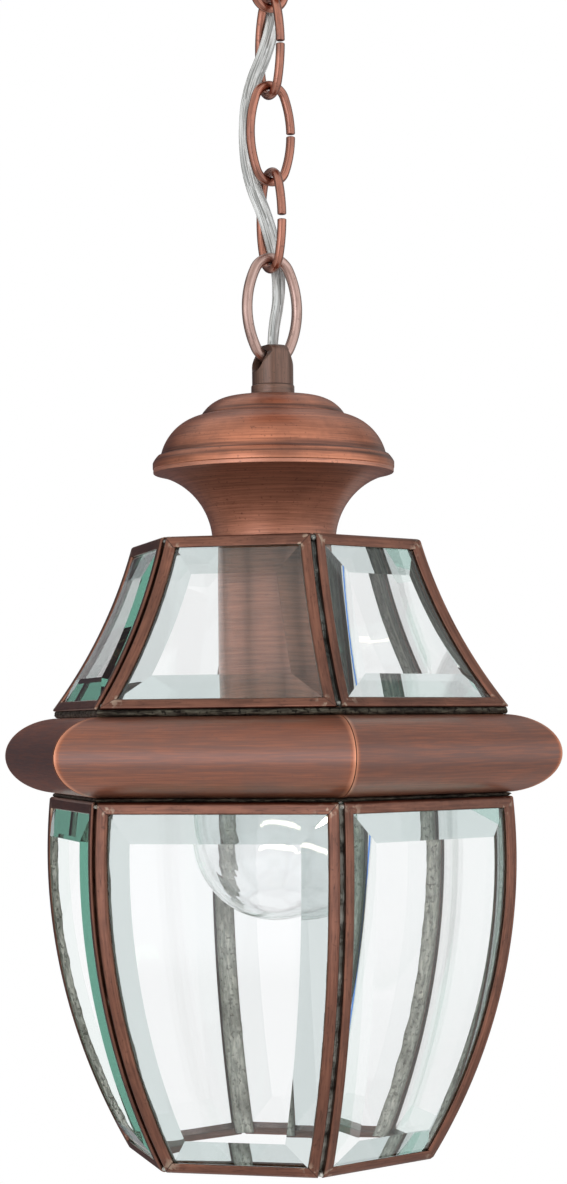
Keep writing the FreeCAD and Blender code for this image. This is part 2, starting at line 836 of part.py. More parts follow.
def bulb_filament():
    """Two lead wires splayed from the mount's button, with the filament bowed between their tips."""
    level = filament_level()
    span = bulb_filament_half_span
    root = (bulb_button_radius + bulb_filament_radius, level + 3.0 * bulb_stem_radius)
    arc = profile_edges((-span, level), [((0.0, level - bulb_filament_drop), (span, level))])
    filament = swept_wire(arc, bulb_filament_radius)
    for side in (-1.0, 1.0):
        start = point(side * root[0], root[1])
        end = point(side * span, level)
        lead = end - start
        wire = Part.makeCylinder(bulb_filament_radius, lead.Length, start, lead)
        filament = filament.fuse(wire).fuse(Part.makeSphere(bulb_filament_radius, end))
    return filament


def cord_places():
    """The points of the cord's route, turned from the chain's directions into X and Y."""
    turn = math.radians(chain_turn)
    return [
        Vector(along * math.cos(turn) - across * math.sin(turn),
               along * math.sin(turn) + across * math.cos(turn), level)
        for along, across, level in cord_route
    ]


def lamp_cord():
    """The flex as a plain tube: straight runs joined by the largest tangent arcs that they leave room for."""
    places = cord_places()
    edges = []
    here = places[0]
    for before, corner, after in zip(places, places[1:], places[2:]):
        back = before - corner
        ahead = after - corner
        turn = math.pi - back.getAngle(ahead)
        setback = cord_bend_share * min(back.Length, ahead.Length)
        radius = setback / math.tan(turn / 2.0)
        print(f"cord bend at {corner.z:.0f}: radius {radius:.1f} mm")
        start = corner + back.normalize() * setback
        end = corner + ahead.normalize() * setback
        inward = (start + end) * 0.5 - corner
        middle = corner + inward.normalize() * (radius / math.cos(turn / 2.0) - radius)
        edges.append(Part.LineSegment(here, start).toShape())
        edges.append(Part.Arc(start, middle, end).toShape())
        here = end
    edges.append(Part.LineSegment(here, places[-1]).toShape())
    cord = swept_wire(edges, cord_radius)
    length = sum(edge.Length for edge in edges)
    print(f"cord length {length:.1f} mm, volume over section times length "
          f"{cord.Volume / (math.pi * cord_radius ** 2 * length):.4f}")
    return cord


def ceiling_parts():
    """Pieces that stay on the ceiling."""
    stem_high = -canopy_stem_recess
    return {
        "mounting_strap": mounting_strap(),
        "canopy_nipple": ring_solid(stem_radius, stem_bore_radius, canopy_stem_low, stem_high),
        "canopy_locknut": hex_nut(stem_radius + stem_clearance, -strap_thickness - nut_height),
        "ceiling_canopy": ceiling_canopy(),
        "canopy_collar": ring_solid(
            canopy_collar_radius, loop_stem_radius + stem_clearance,
            -canopy_depth - canopy_collar_height, -canopy_depth,
        ),
        "canopy_loop": canopy_loop(),
    }


def chain_parts():
    """The links, numbered upwards from the lantern, and the ring below them."""
    parts = {}
    for step, high in enumerate(link_highs):
        turn = chain_turn - 90.0 * (step % 2)
        number = len(link_highs) - step
        split = lowest_link_split if number == 1 else link_split
        parts[f"chain_link_{number}"] = chain_link(high, turn, split)
    ring = closed_ring(ring_height, ring_width, ring_end_radius, ring_high, ring_wire_radius)
    ring.rotate(CENTRE, UP, chain_turn)
    parts["hanging_ring"] = ring
    return parts


def crown_parts():
    """The turned and spun pieces above the roof, and the stem that draws them together."""
    nut_low = plate_low - tube_sheet - nut_height
    stem_high = collar_high - knuckle_stub - stem_clearance
    return {
        "loop_knuckle": loop_knuckle(),
        "lock_collar": lock_collar(),
        "cap_dome": cap_dome(),
        "neck_flare": neck_flare(),
        "stem_nipple": ring_solid(stem_radius, stem_bore_radius, stem_low, stem_high),
        "stem_nut": hex_nut(stem_radius + stem_clearance, nut_low),
        "roof_plate": roof_plate(),
    }


def glazed_parts():
    """The framed glass of roof and body, the belt between them and the solder that joins them."""
    roof = roof_panel()
    body = Panel(body_low, body_height, body_low_apothem, body_high_apothem, body_bulge)
    parts = {}
    for name, panel in (("roof", roof), ("body", body)):
        for side, shape in enumerate(copies(panel_frame(panel)), start=1):
            parts[f"{name}_frame_{side}"] = shape
        for side, shape in enumerate(copies(panel_glass(panel)), start=1):
            parts[f"{name}_glass_{side}"] = shape
        parts[f"{name}_seams"] = Part.makeCompound(list(copies(corner_seam(panel))))
    for side, shape in enumerate(copies(belt_length()), start=1):
        parts[f"belt_length_{side}"] = shape
    parts["roof_bead"] = solder_bead(roof_low_apothem, belt_high, roof_low)
    parts["body_bead"] = solder_bead(body_high_apothem, body_high, belt_low)
    return parts


def lamp_parts():
    """The lamp holder in its tube, and the clear bulb."""
    return {
        "socket_tube": socket_tube(),
        "lamp_socket": lamp_socket(),
        "socket_shell": socket_shell(),
        "bulb_base": bulb_base(),
        "bulb_glass": bulb_glass(),
        "bulb_stem": bulb_stem(),
        "bulb_filament": bulb_filament(),
    }


def main():
    """Build every piece and write one STEP file for each."""
    os.makedirs("parts", exist_ok=True)
    parts = {}
    for group in (ceiling_parts, chain_parts, crown_parts, glazed_parts, lamp_parts):
        parts.update(group())
    parts["lamp_cord"] = lamp_cord()
    for name, shape in parts.items():
        state = "" if shape.isValid() else " not valid"
        print(f"{name}: {len(shape.Solids)} solids, {shape.Volume:.0f} mm3{state}")
        shape.exportStep(f"parts/{name}.step")


main()
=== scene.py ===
"""Look of a hexagonal hanging lantern: brushed copper, bent bevelled glass, solder, chain, cord and bulb.

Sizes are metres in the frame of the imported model: +Z up, the ceiling at height 0, a flat side facing -Y.
"""

import logging
import math
from dataclasses import dataclass
from enum import Enum
from typing import Iterator, Sequence

import bmesh
import bpy
import numpy as np
from mathutils import Matrix, Vector


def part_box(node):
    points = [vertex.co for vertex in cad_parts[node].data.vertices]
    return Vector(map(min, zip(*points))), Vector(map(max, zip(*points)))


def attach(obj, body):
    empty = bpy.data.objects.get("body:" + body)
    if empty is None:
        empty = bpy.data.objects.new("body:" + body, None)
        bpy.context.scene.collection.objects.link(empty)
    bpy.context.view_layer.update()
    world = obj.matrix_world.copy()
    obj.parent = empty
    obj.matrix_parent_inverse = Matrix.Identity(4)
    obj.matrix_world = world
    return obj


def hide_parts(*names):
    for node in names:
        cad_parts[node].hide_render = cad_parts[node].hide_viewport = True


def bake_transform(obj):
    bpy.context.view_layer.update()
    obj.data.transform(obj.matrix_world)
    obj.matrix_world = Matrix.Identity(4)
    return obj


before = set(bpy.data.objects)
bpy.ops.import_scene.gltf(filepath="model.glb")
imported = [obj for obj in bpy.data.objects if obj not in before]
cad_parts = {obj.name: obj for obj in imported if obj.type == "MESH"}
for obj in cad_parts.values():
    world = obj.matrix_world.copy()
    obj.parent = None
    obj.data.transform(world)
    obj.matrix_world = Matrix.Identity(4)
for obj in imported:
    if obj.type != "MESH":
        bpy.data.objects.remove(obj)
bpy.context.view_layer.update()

SIDES = 6
HALF_SIDE = math.pi / SIDES
SLANT = math.tan(HALF_SIDE)
WELD = 1e-6
CREASE = math.radians(32.0)
PANE_CREASE = math.radians(2.5)
SOFT_CREASE = math.radians(60.0)
CHAIN_TURN = math.radians(43.0)
ALONG = np.array([math.cos(CHAIN_TURN), math.sin(CHAIN_TURN), 0.0])
ACROSS = np.array([-math.sin(CHAIN_TURN), math.cos(CHAIN_TURN), 0.0])
UP = np.array([0.0, 0.0, 1.0])
PHOTO_HEIGHT = 1184.0
BRUSH_RADIUS = 0.02
GLASS_INDEX = 1.5
# Tone of the painted blue fringe of light split by a bevel.
FRINGE_TONE = 1.5
CALM_TONE = -1.0

Colour = tuple[float, float, float, float]
log = logging.getLogger("lantern")


class Body(Enum):
    """Bodies that pieces move with."""

    CANOPY = "canopy"
    LINK_4 = "link_4"
    LINK_3 = "link_3"
    LINK_2 = "link_2"
    LINK_1 = "link_1"
    RING = "ring"
    LANTERN = "lantern"


class Slot(Enum):
    """Material slots of the record."""

    COPPER = "antique_copper"
    SOLDER = "solder"
    PANEL_GLASS = "panel_glass"
    BULB_GLASS = "bulb_glass"
    CORD = "clear_cord"
    FILAMENT = "filament"


def shown(red: int, green: int, blue: int) -> Colour:
    """Linear colour of a display colour, by the usual power law of a screen.

    Args:
        red, green, blue: Display values from 0 to 255.

    Returns:
        The linear colour, opaque.
    """
    linear = (np.array([red, green, blue]) / 255.0) ** 2.2
    return (*linear.tolist(), 1.0)


@dataclass
class Patch:
    """A grid of points of a surface.

    Attributes:
        points: Places, by row and column.
        grain: Two coordinates along the brushing and one across it, at each point.
        tone: A number at each point for the finish to read. Above 0 it is wear or a painted highlight on
            metal,
        dark solder, partly with painted shade, tint, a painted blue fringe or glow, and below 0 painted shade
        or a painted grey sheen on metal, pale solder or glass without sheen.
    """

    points: np.ndarray
    grain: np.ndarray
    tone: np.ndarray

    def quads(self, start: int) -> np.ndarray:
        """Corner numbers of the grid's faces, counted from a start."""
        rows, columns = self.points.shape[:2]
        first = start + np.arange(rows * columns).reshape(rows, columns)
        return np.stack(
            [first[:-1, :-1], first[1:, :-1], first[1:, 1:], first[:-1, 1:]], axis=-1
        ).reshape(-1, 4)

    def turned(self, angle: float) -> "Patch":
        """The patch turned about the lantern's axis."""
        cosine, sine = math.cos(angle), math.sin(angle)
        spin = np.array([[cosine, sine, 0.0], [-sine, cosine, 0.0], [0.0, 0.0, 1.0]])
        return Patch(self.points @ spin, self.grain + angle, self.tone)


def run_length(points: np.ndarray) -> np.ndarray:
    """Distance along a line of points, from 0 at its first."""
    steps = np.linalg.norm(np.diff(points, axis=0), axis=1)
    return np.concatenate([[0.0], np.cumsum(steps)])


def unit(vectors: np.ndarray) -> np.ndarray:
    """Vectors scaled to a length of 1."""
    return vectors / np.linalg.norm(vectors, axis=-1, keepdims=True)


def around(angle: np.ndarray) -> np.ndarray:
    """Points of the unit circle at angles."""
    return np.stack([np.cos(angle), np.sin(angle)], axis=-1)


def grid_patch(points: np.ndarray, tone: float | np.ndarray = 0.0, brushed_rows: bool = True) -> Patch:
    """A patch whose brushing follows its rows or its columns.

    The grain's first coordinate is the distance along the first line that way, its last the distance along
    the middle line the other way, and its middle one is 0.

    Args:
        points: Places, by row and column.
        tone: Mask of the patch, one value or one for each point.
        brushed_rows: True where the brushing runs from row to row.

    Returns:
        The patch.
    """
    down = np.broadcast_to(run_length(points[:, 0])[:, None], points.shape[:2])
    over = np.broadcast_to(run_length(points[points.shape[0] // 2])[None, :], points.shape[:2])
    along, across = (down, over) if brushed_rows else (over, down)
    grain = np.stack([along, np.zeros_like(along), across], axis=-1)
    return Patch(points, grain, np.broadcast_to(np.asarray(tone, float), points.shape[:2]))


def make_piece(name: str, patches: Sequence[Patch], finish: "Finish",
               crease: float = CREASE) -> bpy.types.Object:
    """A mesh of patches, welded where they meet, with its faces turned outwards.

    Args:
        name: Name of the piece.
        patches: Grids of its surface.
        finish: Its finish.
        crease: Angle between faces above which an edge is sharp.

    Returns:
        The new object, at the origin.
    """
    sizes = [patch.points.shape[0] * patch.points.shape[1] for patch in patches]
    starts = np.concatenate([[0], np.cumsum(sizes)[:-1]])
    points = np.concatenate([patch.points.reshape(-1, 3) for patch in patches])
    grain = np.concatenate([patch.grain.reshape(-1, 3) for patch in patches])
    tone = np.concatenate([patch.tone.reshape(-1) for patch in patches])
    quads = np.concatenate([patch.quads(int(start)) for patch, start in zip(patches, starts)])
    mesh = bpy.data.meshes.new(name)
    mesh.from_pydata(points.tolist(), [], quads.tolist())
    corners = quads.ravel()
    mesh.attributes.new("grain", "FLOAT_VECTOR", "CORNER").data.foreach_set(
        "vector", grain[corners].astype(np.float32).ravel())
    mesh.attributes.new("tone", "FLOAT", "CORNER").data.foreach_set("value", tone[corners].astype(np.float32))
    work = bmesh.new()
    work.from_mesh(mesh)
    bmesh.ops.remove_doubles(work, verts=work.verts, dist=WELD)
    bmesh.ops.recalc_face_normals(work, faces=work.faces)
    work.to_mesh(mesh)
    work.free()
    mesh.shade_smooth()
    mesh.set_sharp_from_angle(angle=crease)
    mesh.materials.append(finish.material())
    piece = bpy.data.objects.new(name, mesh)
    bpy.context.scene.collection.objects.link(piece)
    return piece


def hand_in(piece: bpy.types.Object, node: str, body: Body = Body.LANTERN) -> None:
    """Let a piece move with a body, and stand for a node.

    Args:
        piece: The finished object.
        node: Node that it stands for.
        body: Body that it moves with.
    """
    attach(piece, body.value)
    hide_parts(node)
    log.info("%s: %d faces on %s", piece.name, len(piece.data.polygons), body.value)


def heights(node: str) -> tuple[float, float]:
    """Lowest and highest level of a node."""
    low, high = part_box(node)
    return low.z, high.z


def rounded(corners: Sequence[tuple[float, float]] | np.ndarray, radii: Sequence[float] | np.ndarray,
            steps: int = 6) -> np.ndarray:
    """A closed outline with its corners rounded.

    Each corner becomes a circular arc: the rational quadratic curve between its two tangent points, with the
    corner as its middle point and the cosine of half the turn as that point's weight.

    Args:
        corners: Corner points, in order.
        radii: Radius at each corner.
        steps: Spans of each arc.

    Returns:
        Points of the outline, with no point twice.
    """
    place = np.asarray(corners, float)
    radius = np.broadcast_to(np.asarray(radii, float), len(place))
    back, ahead = (unit(np.roll(place, step, axis=0) - place) for step in (1, -1))
    half = 0.5 * np.arccos(np.clip(np.sum(back * ahead, axis=1), -1.0, 1.0))
    setback = (radius / np.tan(half))[:, None]
    t = np.linspace(0.0, 1.0, steps + 1)[None, :, None]
    weight = np.sin(half)[:, None, None]
    spots = (place + back * setback, place, place + ahead * setback)
    start, middle, end = (spot[:, None, :] for spot in spots)
    shares = ((1.0 - t) ** 2, 2.0 * t * (1.0 - t) * weight, t ** 2)
    curve = (shares[0] * start + shares[1] * middle + shares[2] * end) / sum(shares)
    points = curve.reshape(-1, 2)
    kept = np.linalg.norm(points - np.roll(points, 1, axis=0), axis=1) > WELD
    return points[kept]


def bowed(start: tuple[float, float], through: tuple[float, float], end: tuple[float, float],
          steps: int = 24) -> np.ndarray:
    """Points of the circular arc through three points.

    Its centre is as far from the start as from the other two, which gives two equations in a line. The arc
    turns the short way from the start to the middle point and on to the end.

    Args:
        start, through, end: The three points.
        steps: Spans of the arc.

    Returns:
        Points from start to end.
    """
    first, second, last = (np.array(spot) for spot in (start, through, end))
    sides = 2.0 * np.stack([second - first, last - first])
    squares = np.array([second @ second - first @ first, last @ last - first @ first])
    centre = np.linalg.solve(sides, squares)
    spans = [math.atan2(*(spot - centre)[::-1]) for spot in (first, second, last)]
    angle = np.linspace(spans[0], np.unwrap(spans)[2], steps + 1)
    return centre + np.linalg.norm(first - centre) * around(angle)


def closed(points: np.ndarray) -> np.ndarray:
    """A line of points with its first repeated at the end."""
    return np.concatenate([points, points[:1]])


def spun(profile: np.ndarray, columns: int = 128, tone: float | np.ndarray = 0.0) -> Patch:
    """A profile turned about the Z axis.

    A point at radius r and height z becomes (r cos a, r sin a, z) as a goes once round. The brushing goes
    round too, so its coordinates are the direction from the axis and the distance along the profile.

    Args:
        profile: Radius and height of each point.
        columns: Spans round the axis.
        tone: Mask, one value or one for each point of the profile.

    Returns:
        The patch, closed round the axis.
    """
    angle = np.linspace(0.0, 2.0 * math.pi, columns + 1)[None, :]
    radius, height = profile[:, :1], profile[:, 1:]
    points = np.stack([radius * np.cos(angle), radius * np.sin(angle), height + 0.0 * angle], axis=-1)
    length = run_length(profile)[:, None] + 0.0 * angle
    turn = BRUSH_RADIUS * around(angle) + 0.0 * points[..., :2]
    shade = np.broadcast_to(np.asarray(tone, float).reshape(-1, 1), points.shape[:2])
    return Patch(points, np.concatenate([turn, length[..., None]], axis=-1), shade)


def swept(path: np.ndarray, side: np.ndarray, out: np.ndarray, section: np.ndarray,
          scale: np.ndarray | None = None) -> Patch:
    """A section carried along a path.

    The point of the section at (u, v) is put at the path's point plus u times its side direction plus v times
    its outward direction, both times the scale there.

    Args:
        path: Points of the path.
        side: Unit side direction at each point.
        out: Unit outward direction at each point.
        section: Points of the closed section, the first again at the end.
        scale: Size of the section at each point, 1 if left out.

    Returns:
        The patch.
    """
    size = np.ones(len(path)) if scale is None else scale
    u, v = section[:, 0][None, :, None], section[:, 1][None, :, None]
    offset = u * side[:, None, :] + v * out[:, None, :]
    points = path[:, None, :] + size[:, None, None] * offset
    along = np.broadcast_to(run_length(path)[:, None], points.shape[:2])
    over = np.broadcast_to(run_length(section)[None, :], points.shape[:2])
    grain = np.stack([along, np.zeros_like(along), over], axis=-1)
    return Patch(points, grain, np.zeros(points.shape[:2]))


def circle(radius: float, steps: int) -> np.ndarray:
    """Points round a circle, the first again at the end."""
    return radius * around(np.linspace(0.0, 2.0 * math.pi, steps + 1))


def lumps(u: np.ndarray, v: np.ndarray, seed: int, fineness: float, waves: int = 12) -> np.ndarray:
    """A smooth uneven surface: the mean of sine waves of chosen fineness in seeded directions and phases.

    Args:
        u, v: Coordinates, in metres.
        seed: Seed of the waves.
        fineness: Waves to a metre, about.
        waves: Number of waves.

    Returns:
        Heights from about -1 to 1.
    """
    draw = np.random.default_rng(seed)
    heading = draw.uniform(0.0, 2.0 * math.pi, waves)
    pace = 2.0 * math.pi * fineness * draw.uniform(0.5, 1.6, waves)
    phase = draw.uniform(0.0, 2.0 * math.pi, waves)
    wave = (u[..., None] * np.cos(heading) + v[..., None] * np.sin(heading)) * pace + phase
    return np.sin(wave).sum(axis=-1) / math.sqrt(waves)


class Tree:
    """Short words for the nodes of one material or group."""

    def __init__(self, tree: bpy.types.NodeTree) -> None:
        """Hold a node tree."""
        self.tree = tree

    def add(self, kind: str, **settings: object) -> bpy.types.Node:
        """A new node of a kind, with its settings."""
        node = self.tree.nodes.new(kind)
        for name, value in settings.items():
            setattr(node, name, value)
        return node

    def link(self, source: bpy.types.NodeSocket, node: bpy.types.Node, socket: str | int) -> None:
        """Join a socket to an input of a node."""
        self.tree.links.new(source, node.inputs[socket])

    def feed(self, value: object, node: bpy.types.Node, socket: str | int) -> None:
        """Join a socket to an input of a node, or set the input to a fixed value."""
        if isinstance(value, bpy.types.NodeSocket):
            self.link(value, node, socket)
        else:
            node.inputs[socket].default_value = value

    def fed(self, kind: str, inputs: dict[str | int, object], **settings: object) -> bpy.types.Node:
        """A new node of a kind, with its inputs joined or set."""
        node = self.add(kind, **settings)
        for socket, value in inputs.items():
            self.feed(value, node, socket)
        return node

    def math(self, operation: str, first: object, second: object = 0.0) -> bpy.types.NodeSocket:
        """A sum, product or the like of two numbers or sockets."""
        return self.fed("ShaderNodeMath", {0: first, 1: second}, operation=operation).outputs[0]

    def remap(self, value: bpy.types.NodeSocket, low: float, high: float, new_low: float,
              new_high: float) -> bpy.types.NodeSocket:
        """A value moved smoothly from one range to another, and held there."""
        ends = {"From Min": low, "From Max": high, "To Min": new_low, "To Max": new_high}
        node = self.fed("ShaderNodeMapRange", {"Value": value, **ends}, interpolation_type="SMOOTHSTEP")
        return node.outputs["Result"]

    def mix(self, share: bpy.types.NodeSocket, first: object, second: object) -> bpy.types.NodeSocket:
        """A colour between two colours or sockets."""
        return self.fed("ShaderNodeMix", {0: share, 6: first, 7: second}, data_type="RGBA").outputs[2]

    def between(self, share: bpy.types.NodeSocket, first: bpy.types.Node,
                second: bpy.types.Node) -> bpy.types.Node:
        """A shader between those of two nodes."""
        return self.fed("ShaderNodeMixShader", {0: share, 1: first.outputs[0], 2: second.outputs[0]})

    def noise(self, vector: bpy.types.NodeSocket, scale: float, detail: float = 2.0,
              rough: float = 0.5) -> bpy.types.NodeSocket:
        """A cloudy value over a vector."""
        inputs = {"Vector": vector, "Scale": scale, "Detail": detail, "Roughness": rough}
        return self.fed("ShaderNodeTexNoise", inputs).outputs["Fac"]

    def stretch(self, vector: bpy.types.NodeSocket, scale: Sequence[float]) -> bpy.types.NodeSocket:
        """A vector with each of its numbers scaled."""
        return self.fed("ShaderNodeMapping", {"Vector": vector, "Scale": scale}).outputs["Vector"]

    def attribute(self, name: str, output: str) -> bpy.types.NodeSocket:
        """An attribute of the mesh."""
        return self.add("ShaderNodeAttribute", attribute_name=name).outputs[output]

    def place(self) -> bpy.types.NodeSocket:
        """Object coordinates."""
        return self.add("ShaderNodeTexCoord").outputs["Object"]

    def bump(self, height: bpy.types.NodeSocket, depth: float) -> bpy.types.NodeSocket:
        """A normal from a height, in metres."""
        inputs = {"Height": height, "Strength": 1.0, "Distance": depth}
        return self.fed("ShaderNodeBump", inputs).outputs["Normal"]

    def group(self, tree: bpy.types.NodeTree, **inputs: object) -> bpy.types.Node:
        """A shared effect, with its inputs."""
        return self.fed("ShaderNodeGroup", inputs, node_tree=tree)


def new_group(name: str, inputs: Sequence[tuple[str, str]],
              outputs: Sequence[str]) -> tuple[Tree, bpy.types.Node, bpy.types.Node]:
    """An empty shared effect.

    Args:
        name: Name of the effect.
        inputs: Name and socket type of each input.
        outputs: Names of its outputs, which are all values.

    Returns:
        Its tree, and its input and output nodes.
    """
    tree = bpy.data.node_groups.new(name, "ShaderNodeTree")
    for title, kind in inputs:
        tree.interface.new_socket(title, in_out="INPUT", socket_type=kind)
    for title in outputs:
        tree.interface.new_socket(title, in_out="OUTPUT", socket_type="NodeSocketFloat")
    made = Tree(tree)
    return made, made.add("NodeGroupInput"), made.add("NodeGroupOutput")


def brushed_lines() -> bpy.types.NodeTree:
    """Brush strokes drawn out along the grain: coarse, fine, single scratches and a broad band of tone."""
    found = bpy.data.node_groups.get("brushed_lines")
    if found:
        return found
    made, given, out = new_group("brushed_lines", [("Grain", "NodeSocketVector")],
                                 ["Stroke", "Fine", "Band", "Scratch"])
    grain = given.outputs["Grain"]
    made.link(made.noise(made.stretch(grain, (45.0, 45.0, 1300.0)), 1.0, 3.0, 0.62), out, "Stroke")
    made.link(made.noise(made.stretch(grain, (90.0, 90.0, 4200.0)), 1.0, 2.0), out, "Fine")
    made.link(made.noise(made.stretch(grain, (16.0, 16.0, 160.0)), 1.0, 2.0), out, "Band")
    scratch = made.noise(made.stretch(grain, (150.0, 150.0, 2200.0)), 1.0, 1.0)
    made.link(made.remap(scratch, 0.60, 0.72, 0.0, 1.0), out, "Scratch")
    return made.tree


def aged_clouds() -> bpy.types.NodeTree:
    """Age of a surface in its own space: broad clouds of dark patina and small specks."""
    found = bpy.data.node_groups.get("aged_clouds")
    if found:
        return found
    made, given, out = new_group("aged_clouds", [("Place", "NodeSocketVector")], ["Cloud", "Speck"])
    place = given.outputs["Place"]
    made.link(made.noise(place, 55.0, 4.0, 0.6), out, "Cloud")
    speck = made.noise(place, 900.0, 2.0)
    made.link(made.remap(speck, 0.62, 0.75, 0.0, 1.0), out, "Speck")
    return made.tree


class Finish:
    """A finish that makes its material once."""

    name: str

    def material(self) -> bpy.types.Material:
        """The finish as a material, made at the first call."""
        found = bpy.data.materials.get(self.name)
        if found:
            return found
        material = bpy.data.materials.new(self.name)
        material.use_nodes = True
        material.node_tree.nodes.clear()
        tree = Tree(material.node_tree)
        output = tree.add("ShaderNodeOutputMaterial")
        self.paint(tree, output)
        return material

    def paint(self, tree: Tree, output: bpy.types.Node) -> None:
        """Lay the finish's nodes and join them to the output."""
        raise NotImplementedError


@dataclass(frozen=True)
class Copper(Finish):
    """Brushed antique copper under lacquer: strokes along the grain, clouds of patina, bright with wear, and
    painted highlight, shade and sheen from its tone.
    """

    name: str
    bright: Colour = shown(190, 126, 100)
    middle: Colour = shown(158, 104, 83)
    dark: Colour = shown(84, 57, 49)
    wear_and_highlight: Colour = shown(222, 152, 118)
    mitred: bool = False
    metallic: float = 1.0
    roughness: float = 0.46
    coat: float = 0.8
    coat_roughness: float = 0.26
    stroke_depth: float = 0.00005
    band_share: float = 0.25
    scratch_share: float = 0.45
    cloud_share: float = 0.45
    speck_share: float = 0.5
    wear_and_highlight_share: float = 0.55

    def paint(self, tree: Tree, output: bpy.types.Node) -> None:
        """Colour from strokes, clouds, wear and the painted highlight, shade and sheen of the tone; roughness
        and bump from strokes.
        """
        lines = tree.group(brushed_lines(), Grain=tree.attribute("grain", "Vector"))
        age = tree.group(aged_clouds(), Place=tree.place())
        stroke = tree.remap(lines.outputs["Stroke"], 0.32, 0.68, 0.0, 1.0)
        band = tree.remap(lines.outputs["Band"], 0.30, 0.70, 0.0, 1.0)
        cloud = tree.remap(age.outputs["Cloud"], 0.40, 0.72, 0.0, 1.0)
        colour = tree.mix(stroke, self.middle, self.bright)
        for mask, share in ((cloud, self.cloud_share), (band, self.band_share),
                            (lines.outputs["Scratch"], self.scratch_share),
                            (age.outputs["Speck"], self.speck_share)):
            colour = tree.mix(tree.math("MULTIPLY", mask, share), colour, self.dark)
        tone = tree.attribute("tone", "Fac")
        depth = tree.remap(stroke, 0.0, 1.0, 0.95, 0.5)
        # A tone below 0 is painted shade on the cap and a painted grey sheen of reflected light on the belt's
        # nose.
        painted_shade_and_sheen = tree.math("MULTIPLY", tree.remap(tone, -1.0, 0.0, 1.0, 0.0), depth)
        colour = tree.mix(painted_shade_and_sheen, colour, self.dark)
        # A tone above 0 is wear at the mitres and a painted highlight along the cap's rim.
        wear_and_highlight = tree.math("MULTIPLY", tone, self.wear_and_highlight_share)
        if self.mitred:
            patch = tree.remap(tree.noise(tree.place(), 420.0, 3.0), 0.52, 0.60, 0.0, 1.0)
            wear_and_highlight = tree.math("MULTIPLY", wear_and_highlight, patch)
        colour = tree.mix(wear_and_highlight, colour, self.wear_and_highlight)
        if self.mitred:
            parts = tree.add("ShaderNodeSeparateXYZ")
            tree.link(tree.attribute("grain", "Vector"), parts, 0)
            joint = tree.remap(parts.outputs["Y"], 0.00010, 0.00035, 0.8, 0.0)
            colour = tree.mix(joint, colour, self.dark)
        rough = tree.math("ADD", tree.math("MULTIPLY", lines.outputs["Fine"], 0.22), self.roughness - 0.11)
        height = tree.math("ADD", tree.math("MULTIPLY", lines.outputs["Fine"], 0.5), lines.outputs["Stroke"])
        metal = tree.fed("ShaderNodeBsdfPrincipled", {
            "Base Color": colour, "Roughness": rough, "Normal": tree.bump(height, self.stroke_depth),
            "Metallic": self.metallic, "Coat Weight": self.coat, "Coat Roughness": self.coat_roughness,
        })
        tree.link(metal.outputs["BSDF"], output, "Surface")


@dataclass(frozen=True)
class Solder(Finish):
    """Old solder: grey-green metal with pale streaks and dark pits."""

    name: str
    pale: Colour = shown(198, 200, 190)
    middle: Colour = shown(128, 132, 122)
    dark: Colour = shown(58, 58, 50)
    metallic: float = 0.75
    roughness: float = 0.48
    pitted: float = 0.85
    clouded: float = 0.7

    def paint(self, tree: Tree, output: bpy.types.Node) -> None:
        """Streaks along the seam, clouds and pits, darker to its edges and pale on its crease."""
        place = tree.place()
        tone = tree.attribute("tone", "Fac")
        age = tree.group(aged_clouds(), Place=place)
        streaks = tree.stretch(tree.attribute("grain", "Vector"), (150.0, 1.0, 700.0))
        mottle = tree.noise(streaks, 1.0, 5.0, 0.68)
        colour = tree.mix(tree.remap(mottle, 0.38, 0.66, 0.0, 1.0), self.middle, self.pale)
        colour = tree.mix(tree.remap(age.outputs["Cloud"], 0.45, 0.68, 0.0, self.clouded), colour, self.dark)
        pits = tree.remap(tree.noise(place, 700.0, 3.0, 0.6), 0.55, 0.64, 0.0, 1.0)
        colour = tree.mix(tree.math("MULTIPLY", pits, self.pitted), colour, self.dark)
        colour = tree.mix(tree.remap(tone, 0.0, 1.0, 0.0, 0.75), colour, self.dark)
        colour = tree.mix(tree.remap(tone, -0.9, -0.3, 0.8, 0.0), colour, self.pale)
        height = tree.math("SUBTRACT", mottle, tree.math("MULTIPLY", pits, 0.6))
        metal = tree.fed("ShaderNodeBsdfPrincipled", {
            "Base Color": colour, "Normal": tree.bump(height, 0.0006),
            "Metallic": self.metallic, "Roughness": self.roughness,
        })
        tree.link(metal.outputs["BSDF"], output, "Surface")


